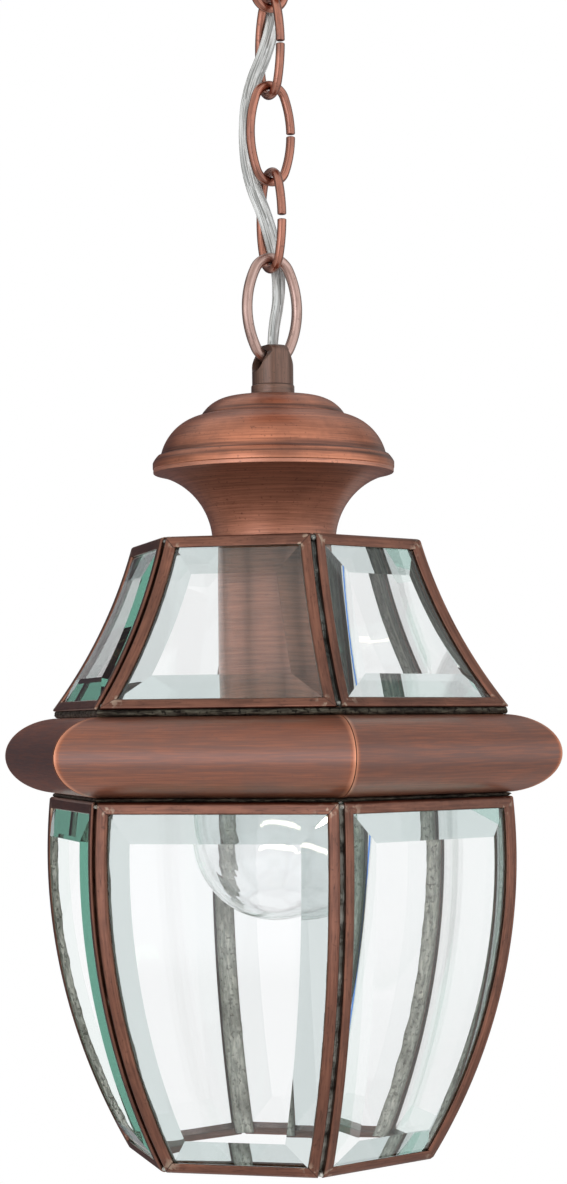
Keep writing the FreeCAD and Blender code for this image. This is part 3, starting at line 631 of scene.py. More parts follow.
@dataclass(frozen=True)
class ClearGlass(Finish):
    """Clear glass that lets lamp light through, tinted, with a painted blue fringe or free of sheen as its
    tone says.
    """

    name: str
    clear: Colour = (0.955, 0.962, 0.965, 1.0)
    tinted: Colour = shown(176, 192, 191)
    fringe: Colour = shown(40, 96, 214)
    trapped: Colour = shown(199, 228, 219)
    streak_depth: float = 0.0

    def paint(self, tree: Tree, output: bpy.types.Node) -> None:
        """A refracting surface for sight, a clear one for shadows, and a green one for light held inside."""
        glass = tree.fed("ShaderNodeBsdfPrincipled",
                         {"Roughness": 0.0, "Transmission Weight": 1.0, "IOR": GLASS_INDEX})
        tone = tree.attribute("tone", "Fac")
        colour = tree.mix(tree.remap(tone, 0.0, 1.0, 0.0, 1.0), self.clear, self.tinted)
        # Painted blue fringe of light split by the bevel.
        fringed = tree.remap(tone, 1.1, FRINGE_TONE, 0.0, 1.0)
        tree.link(tree.mix(fringed, colour, self.fringe), glass, "Base Color")
        if self.streak_depth:
            wave = tree.noise(tree.stretch(tree.place(), (1.0, 1.0, 0.12)), 160.0, 2.0)
            tree.link(tree.bump(wave, self.streak_depth), glass, "Normal")
        through = tree.add("ShaderNodeBsdfTransparent")
        light = tree.add("ShaderNodeLightPath")
        shadow = light.outputs["Is Shadow Ray"]
        trapped = tree.math("GREATER_THAN", light.outputs["Glossy Depth"], 1.5)
        tree.link(tree.mix(shadow, self.trapped, (1.0, 1.0, 1.0, 1.0)), through, "Color")
        sheen = tree.fed("ShaderNodeFresnel", {"IOR": GLASS_INDEX})
        open_way = tree.math("LESS_THAN", sheen.outputs["Fac"], 0.99)
        bent = tree.fed("ShaderNodeBsdfRefraction", {"Roughness": 0.0, "IOR": GLASS_INDEX})
        calm = tree.math("MULTIPLY", tree.remap(tone, CALM_TONE, 0.5 * CALM_TONE, 1.0, 0.0), open_way)
        surface = tree.between(calm, glass, bent)
        surface = tree.between(tree.math("MAXIMUM", shadow, trapped), surface, through)
        tree.link(surface.outputs["Shader"], output, "Surface")


@dataclass(frozen=True)
class ClearFlex(Finish):
    """Clear twin flex: pale jacket with silver strands that show through it as fine lines."""

    name: str
    jacket: Colour = shown(214, 216, 212)
    strand: Colour = shown(120, 122, 118)
    glint: Colour = shown(246, 247, 245)

    def paint(self, tree: Tree, output: bpy.types.Node) -> None:
        """Lines along the flex, under a clear coat."""
        grain = tree.attribute("grain", "Vector")
        strands = tree.noise(tree.stretch(grain, (60.0, 1.0, 2600.0)), 1.0, 2.0)
        glint = tree.noise(tree.stretch(grain, (160.0, 1.0, 900.0)), 1.0, 3.0)
        colour = tree.mix(tree.remap(strands, 0.40, 0.62, 0.0, 1.0), self.jacket, self.strand)
        colour = tree.mix(tree.remap(glint, 0.56, 0.70, 0.0, 0.8), colour, self.glint)
        flex = tree.fed("ShaderNodeBsdfPrincipled", {
            "Base Color": colour, "Normal": tree.bump(strands, 0.00012),
            "Roughness": 0.22, "Coat Weight": 1.0, "Coat Roughness": 0.06,
        })
        tree.link(flex.outputs["BSDF"], output, "Surface")


@dataclass(frozen=True)
class Plain(Finish):
    """A hidden or small piece's finish: one colour with a little age, metal or glaze."""

    name: str
    colour: Colour
    aged: Colour
    metallic: float
    roughness: float

    def paint(self, tree: Tree, output: bpy.types.Node) -> None:
        """Colour that darkens in clouds and specks."""
        age = tree.group(aged_clouds(), Place=tree.place())
        share = tree.remap(age.outputs["Cloud"], 0.42, 0.75, 0.0, 0.8)
        share = tree.math("MAXIMUM", share, tree.math("MULTIPLY", age.outputs["Speck"], 0.6))
        base = tree.fed("ShaderNodeBsdfPrincipled", {
            "Base Color": tree.mix(share, self.colour, self.aged),
            "Metallic": self.metallic, "Roughness": self.roughness,
        })
        tree.link(base.outputs["BSDF"], output, "Surface")


@dataclass(frozen=True)
class Glow(Finish):
    """A lit filament, brighter in places, with leads that its tone leaves dark."""

    name: str
    colour: Colour = (1.0, 0.82, 0.56, 1.0)
    bright: Colour = (1.0, 0.92, 0.76, 1.0)
    unlit: Colour = (0.0, 0.0, 0.0, 1.0)
    strength: float = 25.0

    def paint(self, tree: Tree, output: bpy.types.Node) -> None:
        """Light in a warm colour that varies along the wire."""
        turn = tree.noise(tree.place(), 1500.0, 1.0)
        colour = tree.mix(turn, self.colour, self.bright)
        colour = tree.mix(tree.attribute("tone", "Fac"), self.unlit, colour)
        wire = tree.fed("ShaderNodeBsdfPrincipled", {
            "Metallic": 1.0, "Roughness": 0.4, "Emission Color": colour, "Emission Strength": self.strength,
        })
        tree.link(wire.outputs["BSDF"], output, "Surface")


@dataclass(frozen=True)
class PaleFloor(Finish):
    """A pale floor that keeps the lantern's shadow, fades to white and is clear from below.

    Attributes:
        share: Share of its own shade that shows below the lantern.
    """

    name: str
    colour: Colour = (0.86, 0.86, 0.86, 1.0)
    share: float = 0.35

    def paint(self, tree: Tree, output: bpy.types.Node) -> None:
        """Shade near the middle, white further off, and nothing on the underside."""
        light = tree.add("ShaderNodeLightPath")
        shows = tree.math("MAXIMUM", light.outputs["Is Camera Ray"], light.outputs["Is Transmission Ray"])
        lit = tree.fed("ShaderNodeBsdfDiffuse", {"Color": self.colour})
        gradient = tree.add("ShaderNodeTexGradient", gradient_type="SPHERICAL")
        tree.link(tree.stretch(tree.place(), (1.0, 1.0, 0.0)), gradient, 0)
        nearby = tree.remap(gradient.outputs["Fac"], 0.0, 0.9, 0.0, self.share)
        share = tree.math("MULTIPLY", shows, tree.math("SUBTRACT", 1.0, nearby))
        surface = tree.between(share, lit, tree.add("ShaderNodeEmission"))
        below = tree.add("ShaderNodeNewGeometry").outputs["Backfacing"]
        surface = tree.between(below, surface, tree.add("ShaderNodeBsdfTransparent"))
        tree.link(surface.outputs[0], output, "Surface")


RAIL_COPPER = Copper("rail_copper", bright=shown(132, 89, 72), middle=shown(106, 70, 57),
                     dark=shown(58, 39, 33), wear_and_highlight=shown(190, 174, 154), mitred=True, roughness=0.44, coat=0.4)
SPUN_COPPER = Copper("spun_copper", bright=shown(206, 133, 101), middle=shown(173, 110, 84), roughness=0.42,
                     coat=0.5)
NECK_COPPER = Copper("neck_copper", bright=shown(206, 138, 110), middle=shown(172, 114, 90), metallic=0.75,
                     band_share=0.08, scratch_share=0.25, cloud_share=0.25)
TUBE_COPPER = Copper("tube_copper", roughness=0.42, band_share=0.08, scratch_share=0.25, cloud_share=0.25)
# The belt's dark colour is also the painted grey sheen on its nose.
BELT_COPPER = Copper("belt_copper", bright=shown(164, 101, 74), middle=shown(138, 84, 62),
                     dark=shown(112, 84, 77), roughness=0.5, coat=0.6, wear_and_highlight_share=0.8)
CHAIN_COPPER = Copper("chain_copper", bright=shown(184, 122, 100), middle=shown(134, 86, 70),
                      dark=shown(70, 46, 40), roughness=0.28, coat_roughness=0.12)
RING_COPPER = Copper("ring_copper", bright=shown(194, 165, 155), middle=shown(156, 126, 116),
                     dark=shown(74, 56, 50), roughness=0.36, coat_roughness=0.18)
CAST_COPPER = Copper("cast_copper", bright=shown(117, 86, 72), middle=shown(92, 68, 58),
                     dark=shown(70, 61, 49), roughness=0.5, cloud_share=0.8)
PANEL_GLASS = ClearGlass("panel_glass_clear")
BULB_GLASS = ClearGlass("bulb_glass_clear", streak_depth=0.00012)
BODY_SOLDER = Solder("body_solder", pale=shown(236, 236, 226), middle=shown(174, 176, 167),
                     dark=shown(96, 94, 82), metallic=0.4, pitted=0.6, clouded=0.5)
ROOF_SOLDER = Solder("roof_solder", pale=shown(176, 178, 170), middle=shown(116, 121, 118),
                     dark=shown(72, 76, 72), pitted=0.25, clouded=0.35)
# Solder of the beads by the belt, near black: solder colour with painted shade of the gaps there.
SHADED_SOLDER = Solder("shaded_solder", pale=shown(98, 96, 84), middle=shown(46, 40, 35), dark=shown(19, 16, 15))
FLEX = ClearFlex("clear_flex")
ZINC = Plain("zinc_plate", shown(190, 186, 174), shown(130, 124, 108), metallic=1.0, roughness=0.38)
GLAZE = Plain("white_glaze", shown(236, 233, 224), shown(214, 206, 190), metallic=0.0, roughness=0.18)
BRASS = Plain("plain_brass", shown(214, 180, 112), shown(150, 116, 66), metallic=1.0, roughness=0.3)
FILAMENT = Glow("lit_filament")
FLOOR = PaleFloor("pale_floor")


def dress(names: Sequence[str], finish: Finish) -> None:
    """Give nodes that stay as they are a finish.

    Args:
        names: The nodes.
        finish: Their finish.
    """
    for name in names:
        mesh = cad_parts[name].data
        mesh.materials.clear()
        mesh.materials.append(finish.material())
        log.info("%s: dressed in %s", name, finish.name)


@dataclass(frozen=True)
class BentPanel:
    """One bent side of the lantern: a circular arc between two levels, seen end on.

    Depth is measured square to the panel, inwards from the outer face of its frame, and margin along the
    face, inwards from the frame's edge.

    Attributes:
        low, high: Levels of its ends.
        low_apothem, high_apothem: Distance of its ends from the axis.
        bulge: How far the arc stands out from its chord, negative where it is hollow.
        groove: Width between the frames at a corner.
    """

    low: float
    high: float
    low_apothem: float
    high_apothem: float
    bulge: float
    groove: float = 0.0016

    def arc(self) -> tuple[float, float, float, float]:
        """Side that the arc bends to, its radius, and its centre's distance from the axis and level."""
        height = self.high - self.low
        chord = math.hypot(self.high_apothem - self.low_apothem, height)
        side = math.copysign(1.0, self.bulge)
        radius = chord ** 2 / (8.0 * abs(self.bulge)) + abs(self.bulge) / 2.0
        reach = side * (radius - abs(self.bulge)) / chord
        centre = 0.5 * (self.low_apothem + self.high_apothem) - reach * height
        level = 0.5 * (self.low + self.high) + reach * (self.high_apothem - self.low_apothem)
        return side, radius, centre, level

    def apothem(self, level: np.ndarray, depth: np.ndarray) -> np.ndarray:
        """Distance from the axis to the panel at levels and depths."""
        side, radius, centre, middle = self.arc()
        return centre + side * np.sqrt((radius - side * depth) ** 2 - (level - middle) ** 2)

    def rise(self, level: float) -> float:
        """Height gained for each metre along the face at a level."""
        _, radius, _, middle = self.arc()
        return math.sqrt(1.0 - ((level - middle) / radius) ** 2)

    def place(self, across: np.ndarray, up: np.ndarray, margin: np.ndarray, depth: np.ndarray) -> np.ndarray:
        """Points of the front panel.

        The level goes from the bottom margin to the top margin as up goes from 0 to 1. The panel's half width
        there is its apothem times the tangent of half a side, less half the groove and the margin, and across
        goes from -1 to 1 over it.

        Args:
            across: Share of the half width.
            up: Share of the height.
            margin: Margin from the frame's edge.
            depth: Depth from the outer face.

        Returns:
            The points, in the shape that the arguments share.
        """
        bottom = self.low + margin * self.rise(self.low)
        top = self.high - margin * self.rise(self.high)
        level = bottom + (top - bottom) * up
        apothem = self.apothem(level, depth)
        half = apothem * SLANT - 0.5 * self.groove / math.cos(HALF_SIDE) - margin
        return np.stack(np.broadcast_arrays(across * half, -apothem, level), axis=-1)

    def border(self, profile: np.ndarray, across: np.ndarray, up: np.ndarray,
               tones: Sequence[float] = (0.0, 0.0, 0.0, 0.0)) -> list[Patch]:
        """A profile carried round the panel's four sides, with mitres where two sides meet.

        Args:
            profile: Margin and depth of each point.
            across: Places along the bottom and the top.
            up: Places along the sides.
            tones: Mask of the bottom, right, top and left side.

        Returns:
            A patch for each side.
        """
        margin, depth = profile[None, :, 0], profile[None, :, 1]
        one = np.ones((1, 1))
        sides = (
            self.place(across[:, None], 0.0 * one, margin, depth),
            self.place(one, up[:, None], margin, depth),
            self.place(across[::-1, None], one, margin, depth),
            self.place(-one, up[::-1, None], margin, depth),
        )
        return [grid_patch(points, tone) for points, tone in zip(sides, tones)]

    def corner(self, level: np.ndarray, inset: np.ndarray, depth: np.ndarray) -> np.ndarray:
        """Points near the front panel's right corner.

        A point lies on the panel at a level and depth, at an inset from the corner plane. A negative inset is
        on the next panel, and is the mirror image of the point in that plane.

        Args:
            level: Levels.
            inset: Distances from the corner plane.
            depth: Depths.

        Returns:
            The points.
        """
        apothem = self.apothem(level, depth)
        x = apothem * SLANT - np.abs(inset) / math.cos(HALF_SIDE)
        y = -apothem
        ridge = (math.sin(HALF_SIDE), -math.cos(HALF_SIDE))
        along = x * ridge[0] + y * ridge[1]
        x = np.where(inset < 0.0, 2.0 * along * ridge[0] - x, x)
        y = np.where(inset < 0.0, 2.0 * along * ridge[1] - y, y)
        return np.stack(np.broadcast_arrays(x, y, level), axis=-1)


@dataclass(frozen=True)
class Glazing:
    """One tier of six framed panes, with the solder in its corners.

    Attributes:
        seam_unevenness: Share by which a seam's width wanders.
        seam_crease: Share of pale metal along a seam's middle.
        rail_rounds: Radii at the channel's outer foot, face, lip, lip's inside and back.
        mitre_wear: Reach of the bare metal from a rail's mitre.
        width_fineness, crown_fineness, sink_fineness, drop_fineness: Lumps to a metre in a seam's width and
            crown, in its tongue and on the drops.
        fringe, fringe_inset, fringe_lean: Half width of the painted blue fringe of split light, its distance
            from
        the bevel's foot at the top, and how much further away it is at the bottom.
        faint_tints, deep_tints: Range of the tint on most sides' bevels, and on the tinted sides'.
        tinted_sides, blue_sides, calm_sides: Sides with a deep tint, with a painted blue fringe, and without
            sheen.
    """

    tier: str
    panel: BentPanel
    solder: Solder
    seam_unevenness: float
    seam_crease: float
    rail_face: float = 0.0041
    rail_lip: float = 0.0026
    rail_depth: float = 0.0033
    rail_flange: float = 0.0008
    rail_back: float = 0.0008
    rail_web: float = 0.0016
    rail_rounds: tuple[float, ...] = (0.0003, 0.0012, 0.0006, 0.0001, 0.0002)
    mitre_wear: float = 0.0016
    glass_thickness: float = 0.0035
    glass_edge: float = 0.0015
    glass_bevel: float = 0.0095
    fringe: float = 0.0005
    fringe_inset: float = 0.0024
    fringe_lean: float = 0.0
    glass_clearance: float = 0.0001
    seam_half_width: float = 0.0035
    seam_crown: float = 0.0012
    seam_end: float = 0.0006
    width_fineness: float = 90.0
    crown_fineness: float = 260.0
    sink_fineness: float = 140.0
    drop_fineness: float = 500.0
    tongue_clearance: float = 0.00002
    tongue_sink: float = 0.0024
    tongue_sway: float = 0.0005
    tongue_round: float = 0.0004
    # Darkness of the tongue: dark solder and painted shade of the groove.
    tongue_shade_and_dark_solder: float = 0.6
    drop_sizes: tuple[float, float] = (0.0007, 0.0013)
    drop_depth: float = 0.0019
    drop_insets: tuple[float, float] = (0.0012, 0.0016)
    drop_unevenness: float = 0.16
    faint_tints: tuple[float, float] = (0.1, 0.3)
    deep_tints: tuple[float, float] = (0.6, 1.0)
    tinted_sides: tuple[int, ...] = (1, 2, 6)
    blue_sides: tuple[int, ...] = (2,)
    calm_sides: tuple[int, ...] = ()
    bevel_steps: int = 24
    columns: int = 12
    rows: int = 40

    def spans(self) -> tuple[np.ndarray, np.ndarray]:
        """Places along the bottom and along the sides of a panel."""
        return np.linspace(-1.0, 1.0, self.columns + 1), np.linspace(0.0, 1.0, self.rows + 1)

    def rail_patches(self) -> list[Patch]:
        """The U channel round the front panel: its section, with a rounded face, carried round."""
        back = self.rail_depth - self.rail_back
        foot_round, face_round, lip_round, inner_round, back_round = self.rail_rounds
        section = rounded(
            [(0.0, self.rail_depth), (0.0, 0.0), (self.rail_face, 0.0), (self.rail_face, self.rail_flange),
             (self.rail_web, self.rail_flange), (self.rail_web, back), (self.rail_lip, back),
             (self.rail_lip, self.rail_depth)],
            [foot_round, face_round, lip_round, inner_round, 0.0, 0.0, back_round, back_round],
        )
        across, up = self.spans()
        patches = self.panel.border(closed(section), across, up)
        for patch in patches:
            along = patch.grain[..., 0]
            patch.grain[..., 1] = np.minimum(along, along.max(axis=0) - along)
            patch.tone = np.exp(-(patch.grain[..., 1] / self.mitre_wear) ** 2)
        return patches

    def pane_patches(self, number: int, tones: np.ndarray) -> list[Patch]:
        """The front pane: a flat middle, bevels down to a thin edge in the channel, and a plain back.

        On a blue side the left bevel has a painted blue fringe of split light, a narrow bell across the bevel
        whose middle stands further from the foot the lower it is. The strip between fringe and foot is clear.

        Args:
            number: Number of the side.
            tones: Tint of the bevels along the bottom, right, top and left.

        Returns:
            Patches of its closed surface.
        """
        back = self.rail_flange + self.glass_clearance + self.glass_edge
        front, land = back - self.glass_thickness, back - self.glass_edge
        edge, inner = self.rail_web + self.glass_clearance, self.rail_face
        foot = inner + self.glass_bevel
        across, up = self.spans()
        field = (across[None, :], up[:, None])
        one = np.ones((1, 1))
        share = np.linspace(0.0, 1.0, self.bevel_steps + 1)
        bevel = np.stack([foot - share * self.glass_bevel, front + share * (land - front)], axis=-1)
        bevels = self.panel.border(bevel, across, up, tones)
        # Painted blue fringe of light split by the bevel, on the left bevel of a blue side.
        if number in self.blue_sides:
            middle = self.fringe_inset + self.fringe_lean * (1.0 - up[::-1, None])
            away = (share[None, :] * self.glass_bevel - middle) / self.fringe
            bevels[3].tone = np.where(away > 0.0, tones[3], 0.0) + FRINGE_TONE * np.exp(-away ** 2)
        rim = np.array([(inner, land), (edge, land), (edge, back)])
        calm = CALM_TONE if number in self.calm_sides else 0.0
        return [
            grid_patch(self.panel.place(*field, foot * one, front * one), calm),
            *bevels,
            *self.panel.border(rim, across, up),
            grid_patch(self.panel.place(*field, edge * one, back * one), calm),
        ]

    def seam_patches(self, seed: int) -> list[Patch]:
        """Solder in the right corner of the front panel.

        The strip inside is a low crown across the corner, its width and height uneven along it. A narrower
        tongue fills the groove between the frames to an uneven depth, dark as solder and with painted shade.

        Args:
            seed: Seed of the unevenness.

        Returns:
            Patches of two closed shells.
        """
        ends = self.panel.low + self.seam_end, self.panel.high - self.seam_end
        level = np.linspace(*ends, 3 * self.rows)[:, None]
        turn = np.linspace(0.0, 2.0 * math.pi, 33)[None, :]
        wander = 1.0 + self.seam_unevenness * lumps(level, 0.0 * level, seed, self.width_fineness)
        inset = self.seam_half_width * wander * np.cos(turn)
        rough = lumps(level + 0.0 * turn, inset, seed + 1, self.crown_fineness)
        rise = np.maximum(np.sin(turn), 0.0) ** 0.6
        crown = self.seam_crown * (0.8 + 4.0 * self.seam_unevenness * rough) * rise
        strip = grid_patch(capped(self.panel.corner(level + 0.0 * turn, inset, self.rail_depth + crown)))
        edge = np.abs(np.cos(turn))
        tone = edge ** 3 - self.seam_crease * np.exp(-(edge / 0.1) ** 2)
        strip.tone = np.broadcast_to(tone, strip.tone.shape)
        half = 0.5 * self.panel.groove - self.tongue_clearance
        sway = lumps(level, 0.0 * level, seed + 2, self.sink_fineness)
        sink = self.tongue_sink + self.tongue_sway * sway
        tongue_inset = half * np.sign(np.cos(turn)) * np.abs(np.cos(turn)) ** 0.4
        sunk = sink - self.tongue_round * np.sin(turn)
        tongue_depth = np.where(np.sin(turn) < 0.0, sunk, self.rail_depth)
        tongue = self.panel.corner(level + 0.0 * turn, tongue_inset, tongue_depth)
        # The tongue's tone darkens it with dark solder and painted shade of the groove.
        return [strip, grid_patch(capped(tongue), self.tongue_shade_and_dark_solder), *self.drops(seed)]

    def drops(self, seed: int) -> list[Patch]:
        """Drops of solder at both ends of the right corner's groove, each a ball with lumps.

        Args:
            seed: Seed of their sizes and lumps.

        Returns:
            A closed patch for each drop.
        """
        draw = np.random.default_rng(seed)
        rise = np.linspace(-0.5 * math.pi, 0.5 * math.pi, 17)[:, None]
        turn = np.linspace(0.0, 2.0 * math.pi, 33)[None, :]
        x, y = np.cos(rise) * np.cos(turn), np.cos(rise) * np.sin(turn)
        ball = np.stack([x, y, 0.8 * np.sin(rise) + 0.0 * turn], axis=-1)
        low_inset, high_inset = self.drop_insets
        patches = []
        for level in (self.panel.low + low_inset, self.panel.high - high_inset):
            size = draw.uniform(*self.drop_sizes)
            middle = self.panel.corner(np.array(level), np.array(0.0), np.array(self.drop_depth))
            rough = 1.0 + self.drop_unevenness * lumps(size * x, size * y, seed + 5, self.drop_fineness)
            patches.append(grid_patch(middle + size * rough[..., None] * ball))
        return patches

    def build(self, seed: int) -> None:
        """Make and hand in the rails, panes and solder of all six sides.

        Args:
            seed: Seed of the solder's unevenness and the bevels' tint.
        """
        rails = self.rail_patches()
        draw = np.random.default_rng(seed)
        solder: list[Patch] = []
        for side in range(SIDES):
            angle = 2.0 * HALF_SIDE * side
            number = side + 1
            tints = self.deep_tints if number in self.tinted_sides else self.faint_tints
            pane = self.pane_patches(number, draw.uniform(*tints, 4))
            hand_in(make_piece(f"{self.tier}_rails_{number}", [p.turned(angle) for p in rails], RAIL_COPPER),
                    f"{self.tier}_frame_{number}")
            hand_in(make_piece(f"{self.tier}_pane_{number}", [p.turned(angle) for p in pane], PANEL_GLASS,
                               PANE_CREASE),
                    f"{self.tier}_glass_{number}")
            solder += [p.turned(angle) for p in self.seam_patches(seed + 10 * number)]
        hand_in(make_piece(f"{self.tier}_solder", solder, self.solder, SOFT_CREASE),
                f"{self.tier}_seams")


def capped(points: np.ndarray) -> np.ndarray:
    """A tube's grid with a row at each end that is gathered to one point, which closes it."""
    ends = [np.broadcast_to(row.mean(axis=0), row.shape)[None] for row in (points[0], points[-1])]
    return np.concatenate([ends[0], points, ends[1]])


def closed_tube(tube: Patch, tone: float = 0.0) -> Patch:
    """A tube's patch closed at both ends, in one tone."""
    points = capped(tube.points)
    return Patch(points, capped(tube.grain), np.full(points.shape[:2], tone))


@dataclass(frozen=True)
class Belt:
    """The half-oval moulding between roof and body, in six mitred lengths, and its solder."""

    low: float
    high: float
    apothem: float
    inner_apothem: float = 0.0650
    sheet: float = 0.0013
    mitre_gap: float = 0.0003
    nose_depth: float = 0.0185
    mitre_wear: float = 0.0013
    # Reach of the painted grey sheen of reflected light across the nose.
    painted_nose_sheen: float = 0.0075
    bead_width: float = 0.0042
    bead_setback: float = 0.0012
    bead_unevenness: float = 0.00025
    bead_fineness: float = 240.0
    columns: int = 48

    def outline(self, sheet: float) -> np.ndarray:
        """Apothem and level up the moulding, moved in by a sheet: a flat, half an oval and a flat."""
        angle = np.linspace(-0.5 * math.pi, 0.5 * math.pi, 49)
        middle = 0.5 * (self.low + self.high)
        reach, rise = self.nose_depth - sheet, 0.5 * (self.high - self.low) - sheet
        root = self.apothem - self.nose_depth
        arc = np.stack([root + reach * np.cos(angle), middle + rise * np.sin(angle)], axis=-1)
        flats = np.array([[self.inner_apothem, middle - rise], [self.inner_apothem, middle + rise]])
        return np.concatenate([flats[:1], arc, flats[1:]])

    def carried(self, outline: np.ndarray, across: np.ndarray) -> np.ndarray:
        """An outline carried from mitre to mitre.

        The half length is the apothem times the tangent of half a side, less half the gap.

        Args:
            outline: Apothem and level of each point.
            across: Places along the length, from -1 to 1.

        Returns:
            The points, by outline and place.
        """
        apothem, level = outline[:, None, 0], outline[:, None, 1]
        half = apothem * SLANT - 0.5 * self.mitre_gap / math.cos(HALF_SIDE)
        x = half * across[None, :]
        return np.stack([x, -apothem + 0.0 * x, level + 0.0 * x], axis=-1)

    def length_patches(self) -> list[Patch]:
        """One length: both faces, the outer bright with wear at the mitres and with a painted grey sheen on
        the nose, and the edges.
        """
        outer, inner = self.outline(0.0), self.outline(self.sheet)
        across = np.linspace(-1.0, 1.0, self.columns + 1)
        ends = np.array([-1.0, 1.0])
        outside, inside = self.carried(outer, across), self.carried(inner, across)
        from_mitre = (1.0 - np.abs(across)) * self.apothem * SLANT
        wear = np.exp(-(from_mitre / self.mitre_wear) ** 2)[None, :]
        # Painted reflection: a grey sheen across the middle of the nose, as a tone below 0.
        painted_nose_sheen = np.exp(-((outer[:, 1:] - 0.5 * (self.low + self.high)) / self.painted_nose_sheen) ** 2)
        patches = [grid_patch(outside, wear - (1.0 - wear) * painted_nose_sheen, False), grid_patch(inside, 0.0, False)]
        outer_ends, inner_ends = self.carried(outer, ends), self.carried(inner, ends)
        for end in (0, 1):
            patches.append(grid_patch(np.stack([outer_ends[:, end], inner_ends[:, end]])))
        for edge in (0, -1):
            patches.append(grid_patch(np.stack([outside[edge], inside[edge]])))
        return patches

    def bead_patch(self, apothem: float, low: float, high: float, seed: int) -> Patch:
        """A bead of solder round the lantern, a rounded section carried round the hexagon, with lumps.

        Args:
            apothem: Apothem of the frames that it joins.
            low, high: Its levels.
            seed: Seed of its lumps.

        Returns:
            The patch, a closed ring.
        """
        angle = np.linspace(0.0, 2.0 * math.pi, 361)[:, None]
        turn = np.linspace(0.0, 2.0 * math.pi, 25)[None, :]
        rough = lumps(0.08 * angle + 0.0 * turn, 0.001 * turn + 0.0 * angle, seed, self.bead_fineness)
        outward = apothem - self.bead_setback - 0.5 * self.bead_width * (1.0 - np.cos(turn))
        outward = outward + self.bead_unevenness * rough
        height = 0.5 * (low + high) + 0.5 * (high - low) * np.clip(1.5 * np.sin(turn), -1.0, 1.0)
        folded = np.mod(angle + 0.5 * math.pi + HALF_SIDE, 2.0 * HALF_SIDE) - HALF_SIDE
        radius = outward / np.cos(folded)
        points = np.stack([radius * np.cos(angle), radius * np.sin(angle), height + 0.0 * angle], axis=-1)
        return grid_patch(points)

    def build(self, roof: Glazing, body: Glazing) -> None:
        """Make and hand in the lengths and the two beads.

        Args:
            roof: The tier above.
            body: The tier below.
        """
        patches = self.length_patches()
        for side in range(SIDES):
            angle = 2.0 * HALF_SIDE * side
            hand_in(make_piece(f"belt_moulding_{side + 1}", [p.turned(angle) for p in patches], BELT_COPPER),
                    f"belt_length_{side + 1}")
        for name, node, low, high, apothem, seed in (
            ("roof_solder_bead", "roof_bead", self.high, roof.panel.low, roof.panel.low_apothem, 71),
            ("body_solder_bead", "body_bead", body.panel.high, self.low, body.panel.high_apothem, 72),
        ):
            bead = self.bead_patch(apothem, low, high, seed)
            # The beads' near-black finish is painted shade of the gaps by the belt, with some solder colour.
            hand_in(make_piece(name, [bead], SHADED_SOLDER, SOFT_CREASE), node)


